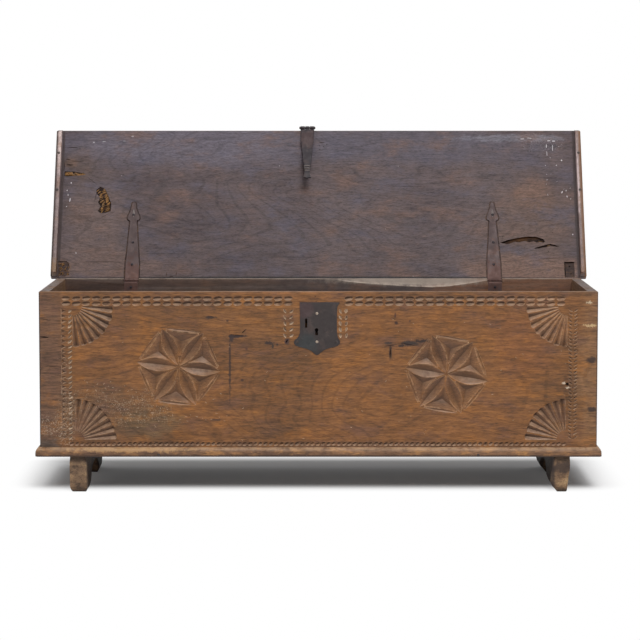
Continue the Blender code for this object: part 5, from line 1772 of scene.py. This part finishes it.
    @staticmethod
    def recess_painted_shade_groove() -> Object:
        """A deep groove along two sides of the right recess, finished dark as painted shade of its walls."""
        line = [
            (0.7066, -0.0605), (0.7360, -0.0605), (0.7360, -0.0566), (0.7102, -0.0566), (0.7102, -0.0120),
            (0.7066, -0.0120)]
        return Bench.sheet("recess_painted_shade_groove", line, 0.012, Matrix.Translation((0, 0, LID_UNDERSIDE)))

    def splits(self) -> Object:
        """The open splits in the inner face: two curved ones on the right, and fine straight ones.

        Returns:
            The cutter.
        """
        upper = [
            (0.525, 0.121), (0.545, 0.1295), (0.575, 0.1365), (0.605, 0.1405), (0.630, 0.1395),
            (0.649, 0.1320), (0.6545, 0.1245), (0.649, 0.1215), (0.640, 0.1240), (0.630, 0.1215),
            (0.621, 0.1262), (0.608, 0.1222), (0.596, 0.1268), (0.580, 0.1225), (0.566, 0.1240),
            (0.546, 0.1160)]
        lower = [
            (0.620, 0.1030), (0.645, 0.1110), (0.668, 0.1178), (0.684, 0.1130), (0.694, 0.1085),
            (0.681, 0.1092), (0.668, 0.1120), (0.657, 0.1068), (0.645, 0.1055), (0.634, 0.1020)]
        cutters = [self.sunk("split", outline, 0.014) for outline in (upper, lower)]
        places = [LID_FACE.place(*split) for split in self.fine_splits]
        cutters += Bench.strew(Patterns.leaf("fine_split", 2.0, 8), places)
        return Bench.gather("splits", cutters)

    def eaten_hollows(self) -> Object:
        """The ragged hollows that worms have opened near the left end.

        Returns:
            The cutter.
        """
        outlines = (
            (
                (-0.647, 0.290), (-0.6357, 0.3006), (-0.622, 0.2937), (-0.6105, 0.2687), (-0.6018, 0.2438),
                (-0.603, 0.2222), (-0.6154, 0.2172), (-0.633, 0.2153), (-0.6406, 0.2222), (-0.633, 0.2366),
                (-0.6406, 0.2507), (-0.6357, 0.2651), (-0.645, 0.2773)),
            (
                (-0.742, 0.3500), (-0.725, 0.3488), (-0.712, 0.3492), (-0.700, 0.3460), (-0.686, 0.3444),
                (-0.679, 0.3400), (-0.690, 0.3375), (-0.704, 0.3364), (-0.720, 0.3342), (-0.742, 0.3335)))
        return Bench.gather("hollows", [self.sunk("hollow", outline, 0.0052) for outline in outlines])

    def splinters(self) -> list[Object]:
        """Pale splinters and crumbs of wood left standing in the worm-eaten hollows.

        Returns:
            The splinters.
        """
        marks = []
        for number in range(26):
            along = (number // 2 + 0.5) / 13
            middle = -0.637 + 0.018 * math.sin(math.pi * (0.05 + 0.6 * along))
            side = 0.0075 * (1 if number % 2 else -1)
            marks.append(
                (
                    middle + side + self.rng.uniform(-0.003, 0.003), 0.294 - 0.075 * along + 0.3 * side,
                    self.rng.uniform(5, 55), self.rng.uniform(0.0013, 0.0027),
                    self.rng.uniform(0.004, 0.0095)))
        for number in range(30):
            along = number / 29
            spread = 0.0062 - 0.0038 * along
            marks.append(
                (
                    -0.738 + 0.056 * along, 0.342 - 0.0022 * along + self.rng.uniform(-spread, spread),
                    self.rng.uniform(-40, 40), self.rng.uniform(0.0016, 0.0027),
                    self.rng.uniform(0.003, 0.006)))
        for across, away, degrees, length in ((0.640, 0.1260, -8, 0.008), (0.664, 0.1130, 24, 0.006)):
            marks.append((across, away, degrees, 0.0011, length))
        for _ in range(26):
            marks.append(
                (
                    self.rng.uniform(-0.746, -0.718), self.rng.uniform(0.018, 0.058),
                    self.rng.uniform(-60, 90), self.rng.uniform(0.0010, 0.0022),
                    self.rng.uniform(0.002, 0.005)))
        sunk = Matrix.Translation((0, 0, 0.0026))
        places = [
            sunk @ LID_FACE.place(across, away, degrees, (half, 0.0022, length))
            for across, away, degrees, half, length in marks]
        return [
            dress(piece, self.finishes[EATEN])
            for piece in Bench.strew(Patterns.leaf("splinter", 3.0, 6), places)]

    def drops(self) -> list[Object]:
        """White spatters and smears of old paint on the inner face.

        Returns:
            The drops.
        """
        marks = [
            (-0.7212, 0.3127, 90.0, 0.0016, 0.0022), (-0.7320, 0.2885, 70.0, 0.0011, 0.0022),
            (-0.7288, 0.2743, 100.0, 0.0011, 0.0030), (-0.7227, 0.2579, 84.0, 0.0013, 0.0066),
            (-0.7320, 0.2366, 60.0, 0.0009, 0.0024), (-0.6992, 0.0889, 100.0, 0.0010, 0.0026),
            (-0.6595, 0.4446, 10.0, 0.0008, 0.0020), (-0.6300, 0.4472, 4.0, 0.0006, 0.0050),
            (-0.5463, 0.4646, 10.0, 0.0006, 0.0036), (-0.5700, 0.4490, 0.0, 0.0005, 0.0040),
            (0.5980, 0.4560, 4.0, 0.0010, 0.0060), (0.6190, 0.4585, -3.0, 0.0009, 0.0070),
            (0.6760, 0.4500, 3.0, 0.0013, 0.0052), (0.6900, 0.4488, -4.0, 0.0012, 0.0050),
            (0.6680, 0.4330, 88.0, 0.0008, 0.0070), (0.6690, 0.4080, 92.0, 0.0007, 0.0080),
            (0.6860, 0.4260, 88.0, 0.0008, 0.0100), (0.7110, 0.3860, 80.0, 0.0018, 0.0024),
            (0.6958, 0.3699, 60.0, 0.0009, 0.0022), (0.7088, 0.2825, 70.0, 0.0012, 0.0040),
            (0.7207, 0.2878, 80.0, 0.0010, 0.0030), (0.7230, 0.2690, 100.0, 0.0012, 0.0030),
            (0.7350, 0.1474, 90.0, 0.0010, 0.0024)]
        for _ in range(12):
            marks.append(
                (
                    self.rng.uniform(0.66, 0.735), self.rng.uniform(0.26, 0.46), self.rng.uniform(0, 120),
                    self.rng.uniform(0.0004, 0.0007), self.rng.uniform(0.001, 0.003)))
        flush = Matrix.Translation((0, 0, LIFT))
        places = [
            flush @ LID_FACE.place(across, away, degrees, (half, 0.00025, length))
            for across, away, degrees, half, length in marks]
        return [
            dress(piece, self.finishes[PAINT])
            for piece in Bench.strew(Patterns.leaf("drop", 4.0, 6), places)]

    def holes(self) -> Object:
        """Worm holes over the inner face.

        Returns:
            The cutter.
        """
        places = []
        marks = [
            (0.7225, -0.047, 0.0030), (0.7255, -0.024, 0.0028), (-0.7000, -0.4236, 0.0018),
            (0.6055, -0.1565, 0.0013), (0.6145, -0.1590, 0.0011), (0.6310, -0.1617, 0.0014),
            (0.6400, -0.1539, 0.0012), (0.6766, -0.1539, 0.0013), (0.5320, -0.1400, 0.0016),
            (0.5870, -0.1513, 0.0011), (0.6627, -0.0942, 0.0014), (0.6444, -0.0269, 0.0012)]
        marks += [
            (
                self.rng.uniform(-0.58, 0.70), self.rng.uniform(-0.46, -0.16),
                self.rng.uniform(0.0006, 0.0012))
            for _ in range(40)]
        for across, away, radius in marks:
            middle = Matrix.Translation((across, away, LID_UNDERSIDE + 0.001))
            depth = 0.009 if radius > 0.002 else 0.003
            places.append(middle @ Matrix.Diagonal((radius, radius, depth, 1.0)))
        return Bench.gather("holes", Bench.strew(Patterns.hole(6, 0.5), places))

    def cleat(self, name: str, side: int, slant: float) -> None:
        """Makes one cleat: a batten with a slanted front end, whose edge has worn uneven.

        Args:
            name: Left or right.
            side: -1 for left, 1 for right.
            slant: How far the front end is cut back at its lower edge.
        """
        half = self.cleat_thickness / 2
        middle = side * (self.cleat_inner + half)
        cleat = Bench.block(
            name + "_batten", (middle - half, -self.reach, LID_UNDERSIDE - self.cleat_drop),
            (middle + half, -self.rear_gap, LID_UNDERSIDE - LIFT))
        Bench.pick(cleat, Kind.EDGES, lambda place, direction: abs(direction.y) > 0.9)
        bpy.ops.mesh.subdivide(number_cuts=28)
        Bench.clear()
        edge = LID_UNDERSIDE - self.cleat_drop
        for vertex in cleat.data.vertices:
            if vertex.co.z < edge + 0.001 and -self.reach + 0.002 < vertex.co.y < -self.rear_gap - 0.002:
                vertex.co.z += self.rng.uniform(0.0, 0.0012)
                vertex.co.x += self.rng.uniform(-0.0005, 0.0005)
        Bench.slice(cleat, (0, -self.reach, LID_UNDERSIDE), (0, -self.cleat_drop, -slant), True)
        Bench.soften(cleat, 0.0014, 2)
        dress(cleat, self.finishes[CLEAT])
        Bench.settle(cleat, LID_PLACE)
        enlist(cleat, Body.LID, name + "_lid_cleat")


@dataclass
class StrapHinges:
    """Two strap hinges: a long leaf with a finial on the lid, and a short bent leaf on the back."""

    finishes: Finishes
    places: tuple[tuple[str, float], ...] = (("left", -0.536), ("right", 0.504))
    iron: float = 0.003
    width: float = 0.039
    knuckle_radius: float = 0.0055
    middle_knuckle: float = 0.013
    rng: random.Random = field(default_factory=lambda: random.Random(23))

    def build(self) -> None:
        """Makes both leaves of both hinges."""
        for name, across in self.places:
            self.lid_leaf(name, across)
            case_leaf = Bench.worn_copy(name + "_hinge_case_strap", 0.0006, 1)
            dress(case_leaf, self.finishes[HINGE_IRON])
            enlist(case_leaf, Body.CASE, name + "_hinge_case_strap")

    @classmethod
    def outline(cls, across: float, rng: random.Random, margin: float = 0.0) -> list[Point]:
        """The lid leaf's outline: a tapering strap with a barbed, leaf-shaped finial.

        Args:
            across: Where the hinge is along the chest.
            rng: Gives the wobble of its hammered edges.
            margin: How much wider than the leaf the outline is.

        Returns:
            Points across and along the lid.
        """
        half = cls.width / 2
        room = cls.middle_knuckle / 2
        root = [(room, 0.002), (room, -0.0062), (half, -0.0062)]
        strap = [
            (half, -0.030), (half - 0.0004, -0.056), (0.0166, -0.090), (0.0138, -0.130), (0.0113, -0.165),
            (0.0094, -0.186), (0.0108, -0.1905), (0.0150, -0.1920), (0.0172, -0.1960), (0.0174, -0.2010),
            (0.0152, -0.2090), (0.0115, -0.2170), (0.0086, -0.2250), (0.0070, -0.2330), (0.0062, -0.2400),
            (0.0046, -0.2460 - margin), (0.0020, -0.2488 - margin)]
        right, left = (
            root + [(place[0] + rng.uniform(-0.0004, 0.0004), place[1]) for place in strap]
            for _ in range(2))
        return (
            [(across + away + margin, along) for away, along in right]
            + [(across - away - margin, along) for away, along in reversed(left)])

    def lid_leaf(self, name: str, across: float) -> None:
        """Makes the leaf on the lid: a tapering strap with a barbed, leaf-shaped finial.

        Args:
            name: Left or right.
            across: Where the hinge is along the chest.
        """
        outline = self.outline(across, self.rng)
        top = LID_UNDERSIDE - LIFT
        leaf = Bench.sheet(
            name + "_strap", outline, self.iron, Matrix.Translation((0, 0, top - self.iron / 2)))
        Bench.pick(leaf, Kind.FACES, lambda middle, normal: normal.z < -0.9)
        bpy.ops.mesh.inset(thickness=0.0016, depth=0.0)
        Bench.clear()
        Bench.soften(leaf, 0.0007, 2)
        knuckle = Bench.rod(
            "knuckle", self.knuckle_radius, self.middle_knuckle - 0.0006, 20, 0.0006, across)
        ridge = Patterns.leaf("ridge", 2.0, 8)
        ridge.matrix_world = LID_FACE.place(across, 0.214, 90.0, (0.0035, 0.0009, 0.013))
        ridge.matrix_world.translation.z -= self.iron
        pieces = [dress(piece, self.finishes[HINGE_IRON]) for piece in (leaf, knuckle)]
        whole = Bench.gather(name + "_lid_leaf", pieces + [dress(ridge, self.finishes[RING_IRON])])
        Bench.settle(whole, LID_PLACE)
        enlist(whole, Body.LID, name + "_hinge_lid_strap")


@dataclass
class Lock:
    """The plate on the front with its slot and keyhole."""

    finishes: Finishes
    middle: float = -0.004
    top: float = 0.516
    height: float = 0.143
    thickness: float = 0.002
    top_halves: Point = (0.0470, 0.0610)
    waist_halves: Point = (0.0458, 0.0540)
    ear_half: float = 0.062

    def outline(self) -> list[Point]:
        """The plate's outline: a waist, two ears and an ogee foot.

        Returns:
            Points across and up.
        """
        ear, tall = self.ear_half, self.height
        halves = []
        for top, waist in zip(self.top_halves, self.waist_halves):
            halves.append(
                [
                    (top, 0.0), (top - 0.001, -0.02 * tall), (waist + 0.001, -0.08 * tall),
                    (waist, -0.14 * tall), (waist - 0.0004, -0.36 * tall), (waist, -0.58 * tall),
                    (0.8 * waist + 0.2 * ear, -0.64 * tall), (0.55 * waist + 0.45 * ear, -0.675 * tall),
                    (0.25 * waist + 0.75 * ear, -0.705 * tall), (ear, -0.740 * tall),
                    (0.99 * ear, -0.78 * tall), (0.92 * ear, -0.815 * tall), (0.80 * ear, -0.838 * tall),
                    (0.62 * ear, -0.857 * tall), (0.44 * ear, -0.878 * tall), (0.30 * ear, -0.905 * tall),
                    (0.17 * ear, -0.948 * tall), (0.08 * ear, -0.985 * tall)])
        right = [(self.middle + across, self.top + up) for across, up in halves[1]]
        left = [(self.middle - across, self.top + up) for across, up in reversed(halves[0])]
        return right + [(self.middle, self.top - tall)] + left

    def build(self) -> None:
        """Makes the plate, with worn edges and the two openings."""
        depth = FACE_Y - LIFT - self.thickness / 2
        upright = Matrix.Translation((0, depth, 0)) @ FRONT_PLANE
        plate = Bench.sheet("lock_shield", self.outline(), self.thickness, upright)
        Bench.soften(plate, 0.0006, 2)
        slot = [(-0.036, 0.4475), (-0.030, 0.4475)]
        slot += [
            (-0.033 + 0.003 * math.cos(turn), 0.4695 + 0.003 * math.sin(turn))
            for turn in (math.pi * step / 6 for step in range(7))]
        keyhole = [(-0.001, 0.4275)]
        keyhole += [
            (-0.005 + 0.005 * math.cos(turn), 0.4415 + 0.005 * math.sin(turn))
            for turn in (math.radians(-55 + 29 * step) for step in range(11))]
        keyhole.append((-0.009, 0.4275))
        cutters = [Bench.sheet("opening", shape, 0.01, upright) for shape in (slot, keyhole)]
        dress(plate, self.finishes[IRON])
        Bench.cut(plate, Bench.gather("openings", cutters))
        enlist(plate, Body.CASE, "lock_plate")


@dataclass
class Hasp:
    """The swinging hasp with its rings and fishtail, and the bracket that holds it."""

    finishes: Finishes
    length: float = 0.203
    thickness: float = 0.004
    half_width: float = 0.0194
    knuckle_radius: float = 0.005
    bend_start: float = 0.092
    bend: float = math.radians(6)
    rings: tuple[float, ...] = (0.1530, 0.1625, 0.1715)

    def lean(self, along: float) -> float:
        """How far the bent tail stands out at a distance from the pin."""
        return max(0.0, along - self.bend_start) * math.tan(self.bend)

    def build(self) -> None:
        """Makes the hasp and its bracket."""
        wide, long = self.half_width, self.length
        tongue = 0.0062
        half = [
            (tongue, 0.0), (tongue, -0.0065), (0.94 * wide, -0.0068), (wide, -0.012),
            (0.97 * wide, -0.10 * long), (0.96 * wide, -0.18 * long), (wide, -0.23 * long),
            (0.98 * wide, -0.27 * long), (0.86 * wide, -0.31 * long), (0.80 * wide, -0.39 * long),
            (0.73 * wide, -0.48 * long), (0.67 * wide, -0.56 * long), (0.60 * wide, -0.64 * long),
            (0.53 * wide, -0.71 * long), (0.47 * wide, -0.78 * long), (0.41 * wide, -0.850 * long),
            (0.38 * wide, -0.878 * long), (0.44 * wide, -0.915 * long), (0.51 * wide, -0.955 * long),
            (0.59 * wide, -0.99 * long), (0.46 * wide, -0.985 * long), (0.30 * wide, -0.980 * long),
            (0.13 * wide, -0.990 * long)]
        outline = half + [(0.0, -long)] + [(-across, up) for across, up in reversed(half)]
        plate = Bench.sheet("hasp_tongue", outline, self.thickness, FRONT_PLANE)
        for step in range(8):
            Bench.slice(plate, (0, 0, -self.bend_start - 0.0135 * step), (0, 0, 1))
        for vertex in plate.data.vertices:
            vertex.co.y -= self.lean(-vertex.co.z)
        Bench.soften(plate, 0.0009, 2)
        eye = Bench.rod("eye", self.knuckle_radius, 0.0118, 20, 0.0006)
        pieces = [dress(piece, self.finishes[DARK_IRON]) for piece in (plate, eye)]
        pieces += [dress(self.ring(along), self.finishes[RING_IRON]) for along in self.rings]
        whole = Bench.gather("hasp_strap", pieces)
        Bench.settle(whole, HASP_PLACE)
        enlist(whole, Body.HASP, "hasp")
        bracket = Bench.worn_copy("hasp_bracket", 0.0007, 2)
        dress(bracket, self.finishes[DARK_IRON])
        enlist(bracket, Body.LID, "hasp_bracket")

    def ring(self, along: float) -> Object:
        """A raised ring filed across the tail.

        Args:
            along: Its distance from the pin.

        Returns:
            The ring.
        """
        half = 0.0093 - 0.08 * (along - self.rings[0])
        ring = Bench.rod("ring", 0.0021, 2 * half, 16, 0.0008)
        front = -self.thickness / 2 - self.lean(along)
        return Bench.settle(ring, Matrix.Translation((0, front, -along)))


@dataclass
class SmallIron:
    """Nails, pins, staple, bolt, guides and spring: solids of the part that keep their shape."""

    finishes: Finishes

    def build(self) -> None:
        """Dresses every solid that no piece stands for."""
        for name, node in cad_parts.items():
            finish = self.finish_of(name)
            for material_slot in node.material_slots:
                material_slot.material = finish
            LOG.info("%s keeps its solid, dressed as %s", name, finish.name)

    def finish_of(self, name: str) -> Material:
        """Chooses a solid's finish by its name.

        Args:
            name: The solid's name.

        Returns:
            The finish.
        """
        if name in ("lock_plate_nail_1", "lock_plate_nail_2"):
            return self.finishes[BRIGHT_NAIL]
        if "strap_nail" in name:
            return self.finishes[DARK_IRON]
        if "nail" in name or "pin" in name or "staple" in name:
            return self.finishes[NAIL]
        return self.finishes[IRON]


@dataclass(frozen=True)
class Lamp:
    """A soft light: where it hangs, what it points at, how wide it is and its power."""

    name: str
    place: Place
    aim: Place
    size: float
    power: float

    def build(self) -> None:
        """Hangs the light."""
        lamp = bpy.data.lights.new(self.name, 'AREA')
        lamp.shape = 'SQUARE'
        lamp.size = self.size
        lamp.energy = self.power
        light = bpy.data.objects.new(self.name, lamp)
        light.location = self.place
        light.rotation_euler = (Vector(self.aim) - Vector(self.place)).to_track_quat('-Z', 'Y').to_euler()
        bpy.context.scene.collection.objects.link(light)


@dataclass
class Studio:
    """The pale floor, the soft lights and the camera."""

    camera_place: Place = (0.0042, -7.22532, 1.0979)
    camera_pitch: float = 84.756
    lens: float = 144.5
    ambient: float = 0.2
    lamps: tuple[Lamp, ...] = (
        Lamp("key", (0.8, -4.7, 4.7), (0.0, 0.0, 0.4), 1.8, 240.0),
        Lamp("top", (0.0, 0.0, 5.0), (0.0, 0.0, 0.0), 3.5, 100.0),
        Lamp("fill", (-4.5, -3.6, 2.8), (0.0, 0.0, 0.4), 2.4, 26.0))

    def build(self) -> None:
        """Sets up the whole studio."""
        self.world()
        self.floor()
        for lamp in self.lamps:
            lamp.build()
        self.camera()
        bpy.context.scene.view_settings.view_transform = 'Standard'

    def world(self) -> None:
        """White surroundings, full white where they are seen."""
        world = bpy.data.worlds.new("studio_white")
        world.use_nodes = True
        bpy.context.scene.world = world
        layout = Tree(world.node_tree)
        background = world.node_tree.nodes["Background"]
        background.inputs["Color"].default_value = (1, 1, 1, 1)
        background.inputs["Strength"].default_value = self.ambient
        seen = layout.add('ShaderNodeBackground', {"Color": (1, 1, 1, 1), "Strength": 1.0})
        camera_ray = layout.add('ShaderNodeLightPath').outputs["Is Camera Ray"]
        mix = layout.add(
            'ShaderNodeMixShader', {0: camera_ray, 1: background.outputs[0], 2: seen.outputs[0]})
        layout.link(mix.outputs[0], world.node_tree.nodes["World Output"].inputs["Surface"])

    def floor(self) -> None:
        """A wide white floor that keeps the shadow round the chest's footprint."""
        Bench.clear()
        bpy.ops.mesh.primitive_plane_add(size=40, location=(0, 8, 0))
        floor = Bench.settle(Bench.named("studio_floor"))
        material = bpy.data.materials.new("floor_white")
        material.use_nodes = True
        layout = Tree(material.node_tree)
        shader = material.node_tree.nodes["Principled BSDF"]
        here = layout.add('ShaderNodeTexCoord').outputs["Object"]
        cloud = layout.span(layout.noise(here, 1.5, 4.0), 0.3, 0.7)
        layout.link(layout.mix(cloud, (242, 242, 243), (248, 248, 248)), shader.inputs["Base Color"])
        shader.inputs["Roughness"].default_value = 0.8
        shader.inputs["Specular IOR Level"].default_value = 0.1
        seen = layout.add('ShaderNodeEmission', {"Color": (1, 1, 1, 1), "Strength": 1.0})
        away = layout.vector('ABSOLUTE', here)
        past = layout.vector('MAXIMUM', layout.vector('SUBTRACT', away, (0.70, 0.20, 0.0)), (0.0, 0.0, 0.0))
        distance = layout.vector('LENGTH', past)
        clear = layout.span(distance, 0.0, 0.16, 0.045, 1.0)
        share = layout.math('MULTIPLY', layout.add('ShaderNodeLightPath').outputs["Is Camera Ray"], clear)
        mix = layout.add('ShaderNodeMixShader', {0: share, 1: shader.outputs[0], 2: seen.outputs[0]})
        layout.link(mix.outputs[0], material.node_tree.nodes["Material Output"].inputs["Surface"])
        dress(floor, material)

    def camera(self) -> None:
        """The camera at the place the photograph was taken from."""
        lens = bpy.data.cameras.new("camera")
        lens.lens = self.lens
        lens.sensor_width = 36.0
        camera = bpy.data.objects.new("camera", lens)
        camera.location = self.camera_place
        camera.rotation_euler = (math.radians(self.camera_pitch), 0, 0)
        bpy.context.scene.collection.objects.link(camera)
        bpy.context.scene.camera = camera


def main() -> None:
    """Builds the chest's looks piece by piece and the studio round it."""
    logging.basicConfig(level=logging.INFO, format="%(message)s")
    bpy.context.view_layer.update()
    finishes = Finishes()
    Studio().build()
    SmallIron(finishes).build()
    CarvedFront(finishes).build()
    CaseBoards(finishes).build()
    Lid(finishes).build()
    StrapHinges(finishes).build()
    Lock(finishes).build()
    Hasp(finishes).build()


if __name__ == "__main__":
    main()
